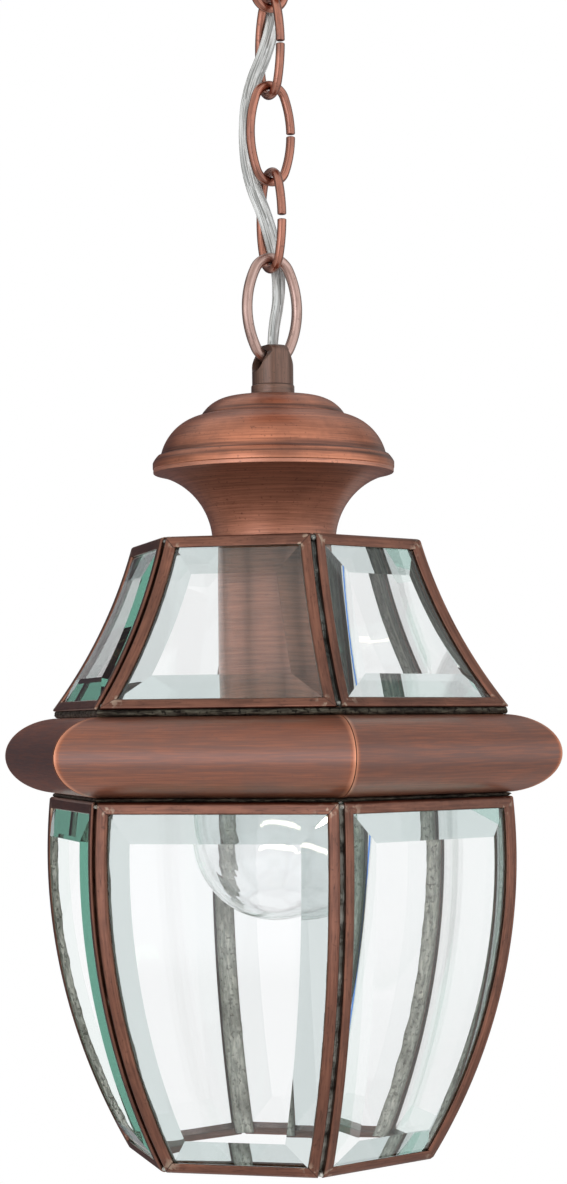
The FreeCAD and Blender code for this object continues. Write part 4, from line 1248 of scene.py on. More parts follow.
@dataclass(frozen=True)
class Crown:
    """The spun and turned pieces above the roof.

    Attributes:
        rim_bow: How far the rim's bow is inside its radius, and how high.
        rim_shine: Strength and reach of the painted highlight along the rim's foot.
        rim_shade: Strength, height and reach of the painted shade line above it.
        foot_shades: Reach of the painted shade in the feet of the dome and of the tier.
        dome_bow, tier_bow: Shares of width and height at a point of the arc.
        cap_rounds: Radii at the rim's foot, at both ends of its shelf and at both ends of the step.
        neck_rounds, collar_rounds: Radii at the corners of the neck's rim and of a collar.
        knuckle_foot: Radius and width of the turn at the barrel's foot.
        shoulder_high, shoulder_low: Distance of the flats' shoulder above and below the eye.
        eye_reach, eye_flare: Half length of the cut for the eye, and how much it widens for each metre.
        way_ends: How far the cut for the cord goes past the barrel, below and above.
    """

    sheet: float = 0.0010
    rim_radius: float = 0.0426
    rim_height: float = 0.0048
    rim_lip: float = 0.0022
    rim_bow: tuple[float, float] = (0.0008, 0.0036)
    rim_shelf: float = 0.0010
    cap_rounds: tuple[float, ...] = (0.0004, 0.0003, 0.0003, 0.0001, 0.0003)
    rim_shine: tuple[float, float] = (0.7, 0.0007)
    rim_shade: tuple[float, float, float] = (0.8, 0.0028, 0.0010)
    foot_shades: tuple[float, float] = (0.0022, 0.0018)
    dome_radius: float = 0.0398
    dome_height: float = 0.0142
    dome_bow: tuple[float, float] = (0.66, 0.65)
    tier_radius: float = 0.0252
    tier_top_radius: float = 0.0095
    tier_step: float = 0.0005
    tier_gap: float = 0.0001
    tier_bow: tuple[float, float] = (0.76, 0.70)
    hole_radius: float = 0.0067
    neck_radius: float = 0.0217
    neck_round: float = 0.0250
    neck_rim: float = 0.0424
    neck_flange_width: float = 0.0030
    neck_rounds: tuple[float, float] = (0.0003, 0.0002)
    knuckle_radius: float = 0.0073
    knuckle_flat: float = 0.0033
    knuckle_top_round: float = 0.0032
    knuckle_edge_round: float = 0.0002
    knuckle_foot: tuple[float, float] = (0.0006, 0.0004)
    collar_radius: float = 0.00765
    collar_rounds: tuple[float, ...] = (0.0005, 0.0007, 0.0, 0.0)
    sleeve_radius: float = 0.0066
    shoulder_high: float = 0.0024
    shoulder_low: float = 0.0030
    eye_radius: float = 0.0036
    eye_reach: float = 0.0120
    eye_flare: float = 0.2
    hang_level: float = -0.2106
    eye_drop: float = 0.0004
    cord_way_radius: float = 0.0027
    way_ends: tuple[float, float] = (0.010, 0.004)
    stem_radius: float = 0.0049

    def cap_outline(self) -> np.ndarray:
        """Radius and height round the cap's sheet: rim, dome, step, tier and hole, and back inside."""
        low, high = heights("cap_dome")
        rim_high = low + self.rim_height
        dome_high = rim_high + self.dome_height
        tier_low = dome_high + self.tier_step
        dome_in, dome_up = self.dome_bow
        tier_in, tier_up = self.tier_bow
        dome_through = (self.tier_radius + dome_in * (self.dome_radius - self.tier_radius),
                        rim_high + dome_up * self.dome_height)
        tier_through = (self.tier_top_radius + tier_in * (self.tier_radius - self.tier_top_radius),
                        tier_low + tier_up * (high - tier_low))
        sheet = self.sheet
        rim_in, rim_up = self.rim_bow
        rim = bowed((self.rim_radius, low + self.rim_lip), (self.rim_radius - rim_in, low + rim_up),
                    (self.dome_radius + self.rim_shelf, rim_high), 8)
        dome = bowed((self.dome_radius, rim_high), dome_through,
                     (self.tier_radius + self.tier_gap, dome_high))
        tier = bowed((self.tier_radius, tier_low), tier_through, (self.tier_top_radius, high))
        ceiling = bowed((self.tier_top_radius, high - sheet),
                        (tier_through[0] - 0.5 * sheet, tier_through[1] - sheet),
                        (self.tier_radius - sheet, tier_low))
        wall = bowed((self.tier_radius - sheet, dome_high - sheet),
                     (dome_through[0] - dome_up * sheet, dome_through[1] - dome_up * sheet),
                     (self.dome_radius - sheet, rim_high))
        hole = [(self.hole_radius, high), (self.hole_radius, high - sheet)]
        foot, end = [(self.rim_radius, low)], [(self.dome_radius - sheet, low)]
        corners = np.concatenate([foot, rim, dome, tier, hole, ceiling, wall, end])
        shelf, step = len(rim), len(rim) + len(dome)
        radii = np.zeros(len(corners))
        radii[[0, shelf, shelf + 1, step, step + 1]] = self.cap_rounds
        return rounded(corners, radii)

    def cap_tone(self, outline: np.ndarray) -> np.ndarray:
        """Painted highlight and shade along the cap's outline.

        A bell at the rim's foot is a painted highlight, and bells above it and in the feet of the dome and of
        the tier are painted shade.

        Args:
            outline: Radius and height of each point.

        Returns:
            The tone of each point.
        """
        level = outline[:, 1] - heights("cap_dome")[0]
        (shine, shine_reach), (shade, shade_level, shade_reach) = self.rim_shine, self.rim_shade
        # Painted highlight along the rim's foot, less a painted shade line above it.
        rim = shine * np.exp(-(level / shine_reach) ** 2)
        rim = rim - shade * np.exp(-((level - shade_level) / shade_reach) ** 2)
        tone = np.where(outline[:, 0] > self.dome_radius, rim, 0.0)
        # Painted shade in the feet of the dome and of the tier.
        feet = self.rim_height, self.rim_height + self.dome_height + self.tier_step
        for foot, reach in zip(feet, self.foot_shades):
            tone -= np.where(level > foot - self.tier_step, np.exp(-((level - foot) / reach) ** 2), 0.0)
        return tone

    def neck_outline(self) -> np.ndarray:
        """Radius and height round the neck's sheet: an arc that leaves the roof upright and flares out."""
        low, high = heights("neck_flare")
        middle = self.neck_radius + self.neck_round
        outer_end = math.acos((self.neck_rim - middle) / self.neck_round)
        reach = self.neck_round + self.sheet
        flange = self.neck_rim - self.neck_flange_width
        inner_end = math.acos((flange - middle) / reach)
        turns = np.linspace(math.pi, outer_end, 49), np.linspace(inner_end, math.pi, 49)
        outer, inner = (
            np.array([middle, low]) + radius * around(turn)
            for radius, turn in zip((self.neck_round, reach), turns)
        )
        corners = np.concatenate([outer, [(self.neck_rim, high), (flange, high)], inner])
        radii = np.zeros(len(corners))
        radii[[len(outer) - 1, len(outer)]] = self.neck_rounds
        return rounded(corners, radii)

    def collar_outline(self, low: float, high: float, radius: float, bore: float) -> np.ndarray:
        """Radius and height round a plain collar with rounded edges."""
        return rounded([(radius, low), (radius, high), (bore, high), (bore, low)], self.collar_rounds)

    def knuckle(self) -> bpy.types.Object:
        """The barrel that the ring hangs in.

        The barrel's radius at an angle is the smaller of its round and of the distance to the flats, which
        slope out to it below the eye, with a soft edge between. An eye that widens outwards and a way for the
        cord are then cut through it.

        Returns:
            The carved piece.
        """
        low = heights("lock_collar")[1]
        high = heights("loop_knuckle")[1]
        foot_round, foot_width = self.knuckle_foot
        side = rounded([(0.0, low), (self.knuckle_radius, low), (self.knuckle_radius, high), (0.0, high)],
                       [0.0, foot_round, self.knuckle_top_round, 0.0], 14)
        level = np.unique(np.concatenate([np.linspace(low, high, 60), side[:, 1]]))
        cap = side[np.argsort(side[:, 0])]
        cap = cap[cap[:, 1] > 0.5 * (low + high)]
        rise = level[level <= cap[-1, 1]]
        profile = np.concatenate([
            [(0.0, low), (self.knuckle_radius - foot_width, low)],
            np.stack([np.full(len(rise[1:]), self.knuckle_radius), rise[1:]], axis=-1),
            cap[::-1],
        ])
        angle = np.linspace(0.0, 2.0 * math.pi, 193)[None, :]
        radius = profile[:, :1]
        slope = (self.knuckle_radius - self.knuckle_flat) / (self.shoulder_high + self.shoulder_low)
        below = np.maximum(self.hang_level + self.shoulder_high - profile[:, 1:], 0.0)
        flat = (self.knuckle_flat + slope * below) / np.maximum(np.abs(np.cos(angle - CHAIN_TURN)), 1e-3)
        edge = self.knuckle_edge_round
        trimmed = -edge * np.logaddexp(-radius / edge, -flat / edge)
        trimmed = np.where(radius > 3.0 * edge, np.maximum(trimmed, 0.0), radius)
        height = profile[:, 1:] + 0.0 * angle
        points = np.stack([trimmed * np.cos(angle), trimmed * np.sin(angle), height], axis=-1)
        barrel = make_piece("loop_barrel", [grid_patch(points)], CAST_COPPER)
        eye = self.hang_level - self.eye_drop
        spread = np.linspace(-self.eye_reach, self.eye_reach, 49)
        flare = self.eye_radius + self.eye_flare * np.maximum(np.abs(spread) - self.knuckle_flat, 0.0)
        path = spread[:, None] * ALONG + np.array([0.0, 0.0, eye])
        count = (len(path), 1)
        bore = swept(path, np.tile(ACROSS, count), np.tile(UP, count), circle(1.0, 48), flare)
        way_levels = np.array([low - self.way_ends[0], high + self.way_ends[1]])
        way = swept(way_levels[:, None] * UP, np.tile(ALONG, (2, 1)), np.tile(ACROSS, (2, 1)),
                    circle(self.cord_way_radius, 32))
        cutters = [make_piece(f"cutter_{number}", [closed_tube(tube)], CAST_COPPER)
                   for number, tube in enumerate((bore, way))]
        return carved(barrel, cutters)

    def build(self) -> None:
        """Make and hand in the cap, neck, knuckle and collar, and dress what they hang on."""
        cap = closed(self.cap_outline())
        hand_in(make_piece("cap_spinning", [spun(cap, 192, self.cap_tone(cap))], SPUN_COPPER),
                "cap_dome")
        hand_in(make_piece("neck_spinning", [spun(closed(self.neck_outline()), 192)], NECK_COPPER),
                "neck_flare")
        low, high = heights("lock_collar")
        cap_high = heights("cap_dome")[1]
        flange = self.collar_outline(cap_high, high, self.collar_radius, self.stem_radius)
        sleeve = self.collar_outline(low, cap_high, self.sleeve_radius, self.stem_radius)
        rings = [spun(closed(outline), 96) for outline in (flange, sleeve)]
        hand_in(make_piece("lock_collar_ring", rings, CAST_COPPER), "lock_collar")
        hand_in(self.knuckle(), "loop_knuckle")
        dress(["stem_nipple", "stem_nut"], ZINC)
        dress(["roof_plate"], RAIL_COPPER)


def carved(piece: bpy.types.Object, cutters: Sequence[bpy.types.Object]) -> bpy.types.Object:
    """A piece with the shapes of cutters taken out of it.

    Args:
        piece: The piece, a closed mesh.
        cutters: Closed meshes, which are removed afterwards.

    Returns:
        The piece, with its new mesh.
    """
    for cutter in cutters:
        cut = piece.modifiers.new(cutter.name, "BOOLEAN")
        cut.operation = "DIFFERENCE"
        cut.solver = "EXACT"
        cut.object = cutter
    bpy.context.view_layer.update()
    shape = piece.evaluated_get(bpy.context.evaluated_depsgraph_get())
    mesh = bpy.data.meshes.new_from_object(shape)
    piece.modifiers.clear()
    piece.data = mesh
    for cutter in cutters:
        bpy.data.objects.remove(cutter)
    mesh.shade_smooth()
    mesh.set_sharp_from_angle(angle=CREASE)
    return piece


@dataclass(frozen=True)
class Oval:
    """An upright oval of round wire made of four tangent arcs, split on one side or closed."""

    name: str
    node: str
    body: Body
    facing: np.ndarray
    height: float
    width: float
    end_radius: float
    wire: float
    split: float
    finish: Copper
    lip: float = 0.0004

    def path(self) -> np.ndarray:
        """Points (out from the axis, height) round the oval from one lip of the split to the other.

        The side arcs' radius makes them meet the end arcs in line: half the sum of the squares of half the
        width and of the end's offset, less the square of the end radius, over half the width less the end
        radius.

        Returns:
            The points, about the oval's middle.
        """
        half = 0.5 * self.width
        offset = 0.5 * self.height - self.end_radius
        side = (half ** 2 + offset ** 2 - self.end_radius ** 2) / (2.0 * (half - self.end_radius))
        inset = half - side
        lean = math.atan2(offset, -inset)
        gap = 0.5 * self.split / side
        arcs = (
            ((inset, 0.0), side, gap, lean), ((0.0, offset), self.end_radius, lean, math.pi - lean),
            ((-inset, 0.0), side, math.pi - lean, math.pi + lean),
            ((0.0, -offset), self.end_radius, math.pi + lean, 2.0 * math.pi - lean),
            ((inset, 0.0), side, -lean, -gap),
        )
        runs = [np.array(centre) + radius * around(np.linspace(start, end, 25))
                for centre, radius, start, end in arcs]
        return np.concatenate([runs[0]] + [run[1:] for run in runs[1:]])

    def build(self) -> None:
        """Make and hand in the wire, its lips rounded over where it is split."""
        low, high = heights(self.node)
        flat = self.path()
        middle = 0.5 * (low + high)
        path = flat[:, :1] * self.facing + (flat[:, 1:] + middle) * UP
        scale = np.ones(len(path))
        if self.split:
            first, last = (unit(way) for way in (path[1] - path[0], path[-1] - path[-2]))
            bend = np.array([0.0, 0.0, 0.35, 0.7, 1.0])
            start = path[0] + first * (self.lip * bend[:, None])
            end = path[-1] - last * (self.lip * bend[::-1, None])
            size = np.array([0.0, 1.0 - self.lip / self.wire, 0.93, 0.985, 1.0])
            path = np.concatenate([start, path[1:-1], end])
            scale = np.concatenate([size, np.ones(len(flat) - 2), size[::-1]])
        side = np.cross(self.facing, UP)
        tangent = np.gradient(path, axis=0)
        if not self.split:
            tangent[[0, -1]] = path[1] - path[-2]
        norm = np.linalg.norm(tangent, axis=1, keepdims=True)
        tangent = tangent / np.maximum(norm, 1e-12)
        tangent[:2] = tangent[2]
        tangent[-2:] = tangent[-3] if self.split else tangent[-2:]
        out = np.cross(tangent, side)
        sides = np.tile(side, (len(path), 1))
        wire = swept(path, sides, out, circle(self.wire, 28), scale)
        hand_in(make_piece(self.name, [wire], self.finish), self.node, self.body)


@dataclass(frozen=True)
class Flex:
    """The clear twin flex, woven down the chain from the ceiling loop into the knuckle.

    Attributes:
        width, broad, thickness: Declared width, which is not used, and the drawn section's width and
            thickness.
        notch: Share by which the section is drawn in between its cores.
        held_above, held_below: Ends of a length that move with one body only, which are not used.
        facing: Level and direction, in radians, of the flex's broad side.
        route: Points of the route: along the flat links, across them, and height.
        cuts: Levels where one length ends and the next begins, one length for each joint of the chain.
    """

    width: float = 0.0046
    broad: float = 0.0054
    thickness: float = 0.0031
    notch: float = 0.25
    held_above: float = 0.006
    held_below: float = 0.001
    facing: tuple[tuple[float, float], ...] = (
        (-0.2076, 1.35), (-0.1900, 1.2), (-0.1700, 0.45), (-0.1300, 0.1), (-0.0900, 0.5), (-0.0600, 0.1),
        (-0.0255, 0.0),
    )
    route: tuple[tuple[float, float, float], ...] = (
        (0.0, 0.0, -0.0255),
        (0.0002, 0.0002, -0.0365),
        (0.0052, 0.0052, -0.0505),
        (0.0044, 0.0062, -0.0670),
        (0.0056, 0.0054, -0.0830),
        (0.0003, 0.0023, -0.0985),
        (-0.0056, 0.0054, -0.1140),
        (-0.0072, 0.0058, -0.1300),
        (-0.0056, 0.0054, -0.1460),
        (-0.0002, 0.0026, -0.1610),
        (0.0056, 0.0056, -0.1765),
        (0.0040, 0.0024, -0.1890),
        (0.0005, 0.0003, -0.2000),
        (0.0, 0.0, -0.2076),
    )
    cuts: tuple[float, ...] = (-0.0255, -0.0565, -0.0870, -0.1175, -0.1480, -0.1785, -0.2076)
    bodies: tuple[Body, ...] = (
        Body.CANOPY, Body.LINK_4, Body.LINK_3, Body.LINK_2, Body.LINK_1, Body.RING, Body.LANTERN,
    )

    def line(self) -> np.ndarray:
        """Points of the smooth curve that has the route as its control points, from top to bottom."""
        places = np.array(self.route) @ np.stack([ALONG, ACROSS, UP])
        curve = bpy.data.curves.new("flex_line", "CURVE")
        curve.dimensions = "3D"
        curve.resolution_u = 24
        spline = curve.splines.new("NURBS")
        spline.points.add(len(places) - 1)
        spline.points.foreach_set("co", np.concatenate([places, np.ones((len(places), 1))], axis=1).ravel())
        spline.order_u = 3
        spline.use_endpoint_u = True
        holder = bpy.data.objects.new("flex_line", curve)
        bpy.context.scene.collection.objects.link(holder)
        bpy.context.view_layer.update()
        mesh = bpy.data.meshes.new_from_object(holder.evaluated_get(bpy.context.evaluated_depsgraph_get()))
        points = np.zeros(3 * len(mesh.vertices))
        mesh.vertices.foreach_get("co", points)
        bpy.data.objects.remove(holder)
        bpy.data.meshes.remove(mesh)
        points = points.reshape(-1, 3)
        return points[np.argsort(-points[:, 2])]

    def section(self) -> np.ndarray:
        """The flex's section: an ellipse drawn in across its middle, as two round cores in one jacket."""
        turn = np.linspace(0.0, 2.0 * math.pi, 41)
        waist = 1.0 - self.notch * np.sin(turn) ** 6
        across, out = 0.5 * self.broad * np.cos(turn), 0.5 * self.thickness * np.sin(turn) * waist
        return np.stack([across, out], axis=-1)

    def build(self) -> None:
        """Make each length, bent across its joint."""
        line = self.line()
        for number, (high, low) in enumerate(zip(self.cuts, self.cuts[1:]), start=1):
            level = np.linspace(high, low, 61)
            path = np.stack([np.interp(-level, -line[:, 2], line[:, axis]) for axis in range(3)], axis=-1)
            heading = unit(np.gradient(path, axis=0))
            twist = np.interp(level, *np.array(self.facing).T)
            broad = np.stack([np.cos(twist), np.sin(twist), 0.0 * twist], axis=-1)
            broad = unit(broad - heading * np.sum(broad * heading, axis=1, keepdims=True))
            tube = swept(path, broad, np.cross(heading, broad), self.section())
            piece = make_piece(f"clear_flex_{number}", [closed_tube(tube)], FLEX)
            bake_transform(piece)
            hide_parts("lamp_cord")


@dataclass(frozen=True)
class Lamp:
    """The socket tube and the clear bulb inside the glass."""

    tube_radius: float = 0.0196
    tube_sheet: float = 0.0010
    tube_rounds: tuple[float, ...] = (0.0004, 0.0006, 0.0, 0.0, 0.0, 0.0004)
    stem_radius: float = 0.0049
    bulb_radius: float = 0.0290
    shoulder: float = math.radians(30.0)
    cone: float = 0.0132
    neck_radius: float = 0.0146
    neck_straight: float = 0.0080
    wall: float = 0.0008
    seal_radius: float = 0.0123
    seal_length: float = 0.0050
    flare_clearance: float = 0.0002
    button_radius: float = 0.0036
    button_height: float = 0.0030
    rod_radius: float = 0.0026
    rod_start: float = 0.0060
    mount_rounds: tuple[float, ...] = (0.0, 0.0012, 0.0012, 0.001, 0.006, 0.0002, 0.0)
    lead_radius: float = 0.0004
    lead_level: float = 0.0028
    filament_half_span: float = 0.0090
    filament_drop: float = 0.0028
    filament_above_ball: float = 0.0060
    coil_radius: float = 0.0008
    coil_wire: float = 0.00026
    coil_turns: int = 60

    def bulb_outline(self, inset: float) -> np.ndarray:
        """Radius and height up the bulb, moved in by an inset: ball, cone, hollow round and straight neck.

        Args:
            inset: Distance inside the outer surface.

        Returns:
            Points from the lowest point to the sealed end.
        """
        low, high = heights("bulb_glass")
        ball = low + self.bulb_radius
        foot = np.array([
            self.bulb_radius * math.cos(self.shoulder) - self.cone * math.sin(self.shoulder),
            ball + self.bulb_radius * math.sin(self.shoulder) + self.cone * math.cos(self.shoulder),
        ])
        hollow = (foot[0] - self.neck_radius) / (1.0 - math.cos(self.shoulder))
        centre = np.array([self.neck_radius + hollow, foot[1] + hollow * math.sin(self.shoulder)])
        rise = np.linspace(-0.5 * math.pi, self.shoulder, 97)
        turn = np.linspace(math.pi + self.shoulder, math.pi, 25)
        reach, seal = self.bulb_radius - inset, self.seal_radius - inset
        return np.concatenate([
            np.array([0.0, ball]) + reach * around(rise),
            centre + (hollow + inset) * around(turn),
            [(self.neck_radius - inset, centre[1] + self.neck_straight), (seal, high - self.seal_length),
             (seal, high)],
        ])

    def filament_path(self) -> tuple[np.ndarray, np.ndarray]:
        """The coil's bowed line and the coil round it.

        The line hangs in a parabola between the lead tips. The coil's point is the line's, plus the coil's
        radius times a direction that turns about the line.

        Returns:
            Points of the line, and of the coil.
        """
        level = heights("bulb_glass")[0] + self.bulb_radius + self.filament_above_ball
        share = np.linspace(-1.0, 1.0, 12 * self.coil_turns + 1)
        line = np.stack([self.filament_half_span * share, 0.0 * share,
                         level - self.filament_drop * (1.0 - share ** 2)], axis=-1)
        turn = math.pi * self.coil_turns * share
        coil = line + self.coil_radius * np.stack([0.0 * turn, np.cos(turn), np.sin(turn)], axis=-1)
        return line, coil

    def filament_patches(self, root_level: float) -> list[Patch]:
        """The lit coil and its two dark leads.

        Args:
            root_level: Level where the leads leave the mount.

        Returns:
            A closed patch for each wire.
        """
        line, coil = self.filament_path()
        heading = unit(np.gradient(coil, axis=0))
        side = unit(np.cross(heading, line - coil))
        spiral = swept(coil, side, np.cross(heading, side), circle(self.coil_wire, 6))
        wires = [closed_tube(spiral, 1.0)]
        spread = np.array([0.0, 1.0, 0.0])
        for tip in (line[0], line[-1]):
            root_x = math.copysign(self.button_radius + self.lead_radius, tip[0])
            lead = np.stack([(root_x, 0.0, root_level), tip])
            way = unit(lead[1] - lead[0])
            wire = swept(lead, np.tile(spread, (2, 1)), np.tile(np.cross(way, spread), (2, 1)),
                         circle(self.lead_radius, 12))
            wires.append(closed_tube(wire))
        return wires

    def build(self) -> None:
        """Make and hand in the tube, the bulb, its mount and its filament, and dress what holds them."""
        low, high = heights("socket_tube")
        bore, inner, under = self.stem_radius, self.tube_radius - self.tube_sheet, high - self.tube_sheet
        tube = rounded([(self.tube_radius, low), (self.tube_radius, high), (bore, high), (bore, under),
                        (inner, under), (inner, low)], self.tube_rounds)
        hand_in(make_piece("socket_sleeve", [spun(closed(tube), 160)], TUBE_COPPER),
                "socket_tube")
        shell = np.concatenate([self.bulb_outline(0.0), self.bulb_outline(self.wall)[::-1]])
        hand_in(make_piece("bulb_envelope", [spun(shell, 256)], BULB_GLASS, SOFT_CREASE),
                "bulb_glass")
        low, high = heights("bulb_stem")
        flare = self.seal_radius - self.wall - self.flare_clearance
        mount = rounded(
            [(0.0, low), (self.button_radius, low), (self.button_radius, low + self.button_height),
             (self.rod_radius, low + self.rod_start), (self.rod_radius, high - 2.0 * flare), (flare, high),
             (0.0, high)],
            self.mount_rounds, 10)
        hand_in(make_piece("bulb_mount", [spun(mount, 64)], BULB_GLASS, SOFT_CREASE),
                "bulb_stem")
        wires = self.filament_patches(low + self.lead_level)
        hand_in(make_piece("lit_filament_coil", wires, FILAMENT), "bulb_filament")
        dress(["lamp_socket"], GLAZE)
        dress(["socket_shell", "bulb_base"], BRASS)


@dataclass(frozen=True)
class Canopy:
    """The ceiling end: a spun dish, its collar and the cast loop.

    Attributes:
        belly: How far the dish's belly is inside its radius, and how high above its foot.
        flat_radius, flat_round: Radius of the flat foot, and the width of the turn into it.
        rounds, collar_rounds: Radii at the corners of the dish's and of the collar's outline.
    """

    radius: float = 0.0635
    lip: float = 0.0035
    belly: tuple[float, float] = (0.0120, 0.0045)
    flat_radius: float = 0.0160
    flat_round: float = 0.0040
    hole_radius: float = 0.0082
    sheet: float = 0.0012
    rounds: tuple[float, ...] = (0.0002, 0.004, 0.020, 0.012, 0.0003, 0.0, 0.011, 0.019, 0.003, 0.0)
    collar_radius: float = 0.0125
    collar_bore: float = 0.0081
    collar_rounds: tuple[float, ...] = (0.0016, 0.0008, 0.0, 0.0005)

    def build(self) -> None:
        """Make and hand in the dish and collar, and dress the fittings."""
        low, high = heights("ceiling_canopy")
        belly_in, belly_up = self.belly
        outer = [(self.radius, high), (self.radius, high - self.lip),
                 (self.radius - belly_in, low + belly_up), (self.flat_radius + self.flat_round, low),
                 (self.hole_radius, low)]
        inner = [(radius - self.sheet * (radius > self.hole_radius), level + self.sheet * (level < high))
                 for radius, level in outer[::-1]]
        dish = rounded(outer + inner, self.rounds, 14)
        hand_in(make_piece("canopy_dish", [spun(closed(dish), 192)], SPUN_COPPER),
                "ceiling_canopy", Body.CANOPY)
        low, high = heights("canopy_collar")
        ring = rounded([(self.collar_radius, low), (self.collar_radius, high), (self.collar_bore, high),
                        (self.collar_bore, low)], self.collar_rounds)
        hand_in(make_piece("canopy_collar_ring", [spun(closed(ring), 96)], CAST_COPPER),
                "canopy_collar", Body.CANOPY)
        dress(["canopy_loop"], CAST_COPPER)
        dress(["mounting_strap", "canopy_nipple", "canopy_locknut"], ZINC)


@dataclass(frozen=True)
class SoftBox:
    """A soft box that points at a target and isn't seen itself.

    Attributes:
        place: Where it stands.
        size: Width and height.
        power: Watts.
        colour: Colour of its light.
    """

    name: str
    place: tuple[float, float, float]
    size: tuple[float, float]
    power: float
    colour: tuple[float, float, float]

    def build(self, target: Sequence[float]) -> None:
        """Make the lamp.

        Args:
            target: The point that it is turned to.
        """
        data = bpy.data.lights.new(self.name, "AREA")
        data.shape = "RECTANGLE"
        data.size, data.size_y = self.size
        data.energy = self.power
        data.color = self.colour
        lamp = bpy.data.objects.new(self.name, data)
        lamp.location = self.place
        lamp.rotation_mode = "QUATERNION"
        lamp.rotation_quaternion = (Vector(target) - Vector(self.place)).to_track_quat("-Z", "Y")
        lamp.visible_camera = False
        lamp.visible_glossy = False
        lamp.visible_transmission = False
        bpy.context.scene.collection.objects.link(lamp)


@dataclass(frozen=True)
class BrightField:
    """A soft round field of the surroundings, which metal and glass mirror.

    Attributes:
        heading: Direction of its middle.
        spread: Angle from its middle to its edge, in degrees.
        colour: Its colour and brightness.
    """

    heading: tuple[float, float, float]
    spread: float
    colour: Colour


@dataclass(frozen=True)
class Studio:
    """Camera, lamps, white surroundings and a pale floor.

    Attributes:
        focal_pixels: Focal length in pixels of the photo.
        eye: Where the camera stands.
        azimuth, pitch, roll: Its turn about the axis, its look upwards and its tip.
        target: Point that the lamps are turned to.
        room: What metal and glass mirror between the bright fields.
        sky, sky_strength: Light of the surroundings on the lantern.
    """

    focal_pixels: float = 2699.03
    sensor: float = 24.0
    eye: tuple[float, float, float] = (0.253914, -0.914412, -0.340381)
    azimuth: float = math.radians(15.330)
    pitch: float = 0.050
    roll: float = -0.009
    target: tuple[float, float, float] = (0.0, 0.0, -0.34)
    floor_level: float = -1.1
    floor_half: float = 6.0
    white: Colour = (1.0, 1.0, 1.0, 1.0)
    sky: Colour = (0.92, 0.95, 1.0, 1.0)
    sky_strength: float = 0.7
    room: Colour = (0.42, 0.38, 0.36, 1.0)
    fields: tuple[BrightField, ...] = (
        BrightField((0.0, -0.4, -0.90), 85.0, (1.00, 0.96, 0.94, 1.0)),
        BrightField((0.0, -0.3, 0.95), 75.0, (0.95, 0.94, 0.94, 1.0)),
        BrightField((0.90, -0.30, 0.10), 58.0, (1.48, 1.46, 1.46, 1.0)),
        BrightField((-0.45, -0.80, 0.40), 52.0, (1.30, 1.26, 1.22, 1.0)),
        BrightField((-0.26, -0.96, 0.00), 26.0, (2.40, 2.40, 2.50, 1.0)),
        BrightField((-0.55, 0.83, 0.00), 50.0, (0.10, 0.08, 0.09, 1.0)),
    )
    lamps: tuple[SoftBox, ...] = (
        SoftBox("key_left", (-0.55, -1.05, 0.10), (1.0, 1.1), 7.0, (1.0, 0.98, 0.96)),
        SoftBox("fill_right", (1.05, -0.65, -0.25), (0.6, 1.0), 3.2, (0.97, 0.98, 1.0)),
        SoftBox("top_back", (-0.15, 0.75, 0.75), (0.9, 0.5), 2.5, (1.0, 1.0, 1.0)),
    )

    def camera(self) -> None:
        """Place the camera as it stood: turned by the azimuth, pitched up and rolled."""
        right = np.array([math.cos(self.azimuth), math.sin(self.azimuth), 0.0])
        away = np.array([-math.sin(self.azimuth), math.cos(self.azimuth), 0.0])
        ahead = away * math.cos(self.pitch) + UP * math.sin(self.pitch)
        over = UP * math.cos(self.pitch) - away * math.sin(self.pitch)
        cosine, sine = math.cos(self.roll), math.sin(self.roll)
        across, top = cosine * right + sine * over, cosine * over - sine * right
        data = bpy.data.cameras.new("photo_camera")
        data.sensor_width = self.sensor
        data.lens = self.sensor * self.focal_pixels / PHOTO_HEIGHT
        data.clip_start, data.clip_end = 0.01, 50.0
        camera = bpy.data.objects.new("photo_camera", data)
        pose = np.eye(4)
        pose[:3, :3] = np.stack([across, top, -ahead], axis=1)
        pose[:3, 3] = self.eye
        camera.matrix_world = Matrix(pose.tolist())
        bpy.context.scene.collection.objects.link(camera)
        bpy.context.scene.camera = camera

    def seen(self, tree: Tree) -> tuple[bpy.types.NodeSocket, bpy.types.NodeSocket]:
        """Masks of the rays that show the surroundings.

        Args:
            tree: The tree to make them in.

        Returns:
            Where a ray shows the surroundings, straight, through glass or mirrored, and where it is their
            first reflection.
        """
        light = tree.add("ShaderNodeLightPath")
        glossy, through = light.outputs["Is Glossy Ray"], light.outputs["Is Transmission Ray"]
        shows = tree.math("MAXIMUM", tree.math("MAXIMUM", light.outputs["Is Camera Ray"], through), glossy)
        first = tree.math("LESS_THAN", light.outputs["Glossy Depth"], 1.5)
        return shows, tree.math("MULTIPLY", tree.math("SUBTRACT", glossy, through), first)

    def surroundings(self) -> None:
        """White all round to the eye. Metal and glass mirror a dim warm room with bright fields in it."""
        world = bpy.data.worlds.new("studio")
        world.use_nodes = True
        world.node_tree.nodes.clear()
        tree = Tree(world.node_tree)
        output = tree.add("ShaderNodeOutputWorld")
        shows, mirrored = self.seen(tree)
        direction = tree.add("ShaderNodeTexCoord").outputs["Generated"]
        room: bpy.types.NodeSocket | Colour = self.room
        for field in self.fields:
            near = tree.fed("ShaderNodeVectorMath", {0: direction, 1: Vector(field.heading).normalized()},
                            operation="DOT_PRODUCT")
            edge = math.cos(math.radians(field.spread))
            share = tree.remap(near.outputs["Value"], edge, 0.3 * edge + 0.7, 0.0, 1.0)
            room = tree.mix(share, room, field.colour)
        view = tree.fed("ShaderNodeBackground", {"Color": tree.mix(mirrored, self.white, room)})
        lighting = tree.fed("ShaderNodeBackground", {"Color": self.sky, "Strength": self.sky_strength})
        tree.link(tree.between(shows, lighting, view).outputs[0], output, "Surface")
        bpy.context.scene.world = world

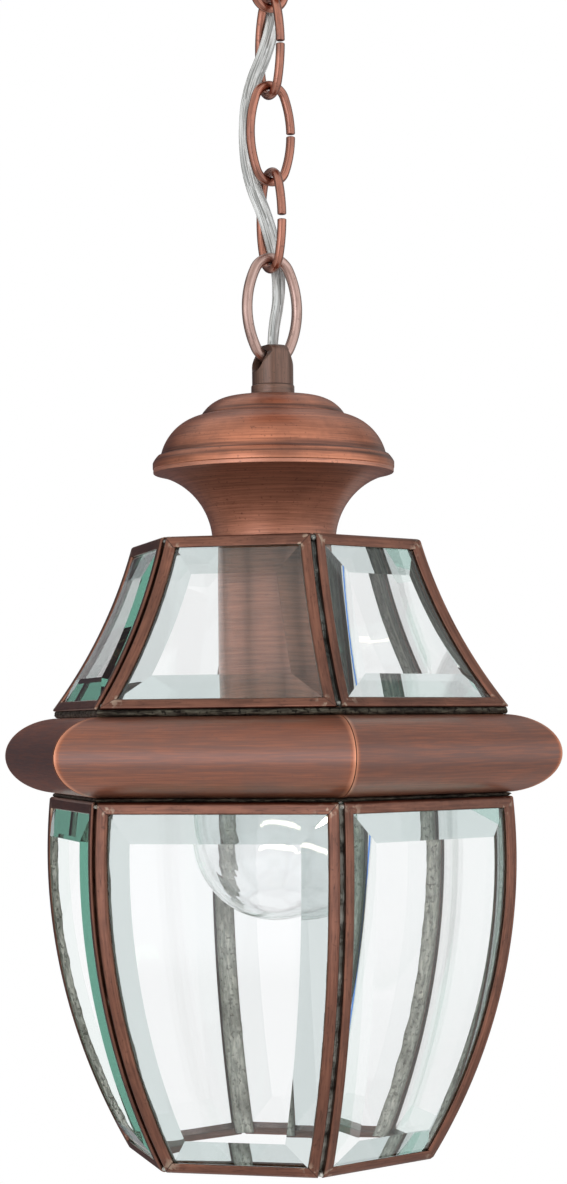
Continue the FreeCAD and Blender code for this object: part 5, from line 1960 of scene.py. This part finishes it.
    def floor(self) -> None:
        """Lay a square of floor under the lantern."""
        half, level = self.floor_half, self.floor_level
        mesh = bpy.data.meshes.new("floor")
        corners = [(half * x, half * y, level) for x, y in ((-1, -1), (1, -1), (1, 1), (-1, 1))]
        mesh.from_pydata(corners, [], [(0, 1, 2, 3)])
        mesh.materials.append(FLOOR.material())
        floor = bpy.data.objects.new("floor", mesh)
        floor.visible_glossy = False
        bpy.context.scene.collection.objects.link(floor)

    def build(self) -> None:
        """Set the stage."""
        self.camera()
        self.surroundings()
        self.floor()
        for lamp in self.lamps:
            lamp.build(self.target)
        bpy.context.scene.view_settings.view_transform = "Standard"


def chain() -> Iterator[Oval]:
    """The ovals of the chain, from the ceiling down."""
    turns = (ALONG, -ACROSS, ALONG, -ACROSS)
    bodies = (Body.LINK_4, Body.LINK_3, Body.LINK_2, Body.LINK_1)
    splits = (0.0008, 0.0008, 0.0008, 0.0015)
    for number, facing, body, split in zip((4, 3, 2, 1), turns, bodies, splits):
        yield Oval(f"chain_wire_{number}", f"chain_link_{number}", body, facing, height=0.0346, width=0.0161,
                   end_radius=0.0060, wire=0.0016, split=split, finish=CHAIN_COPPER)
    yield Oval("ring_wire", "hanging_ring", Body.RING, ALONG, height=0.0361, width=0.0198,
               end_radius=0.0074, wire=0.0019, split=0.0, finish=RING_COPPER)


def main() -> None:
    """Build the lantern's look piece by piece."""
    logging.basicConfig(level=logging.INFO, format="%(message)s")
    Studio().build()
    Flex().build()
    for oval in chain():
        oval.build()
    roof_low, roof_high = heights("roof_frame_1")
    body_low, body_high = heights("body_frame_1")
    roof_panel = BentPanel(roof_low, roof_high, low_apothem=0.0727, high_apothem=0.0461, bulge=-0.0029)
    body_panel = BentPanel(body_low, body_high, low_apothem=0.0477, high_apothem=0.0734, bulge=0.0094)
    roof = Glazing("roof", roof_panel, ROOF_SOLDER, seam_unevenness=0.01, seam_crease=1.0,
                   glass_thickness=0.00325, fringe_inset=0.0022, fringe_lean=0.0026)
    body = Glazing("body", body_panel, BODY_SOLDER, seam_unevenness=0.04, seam_crease=0.0,
                   fringe_lean=0.0118, calm_sides=(6,))
    roof.build(seed=5)
    body.build(seed=6)
    belt_low, belt_high = heights("belt_length_1")
    Belt(belt_low, belt_high, -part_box("belt_length_1")[0].y).build(roof, body)
    Crown().build()
    Lamp().build()
    Canopy().build()


if __name__ == "__main__":
    main()
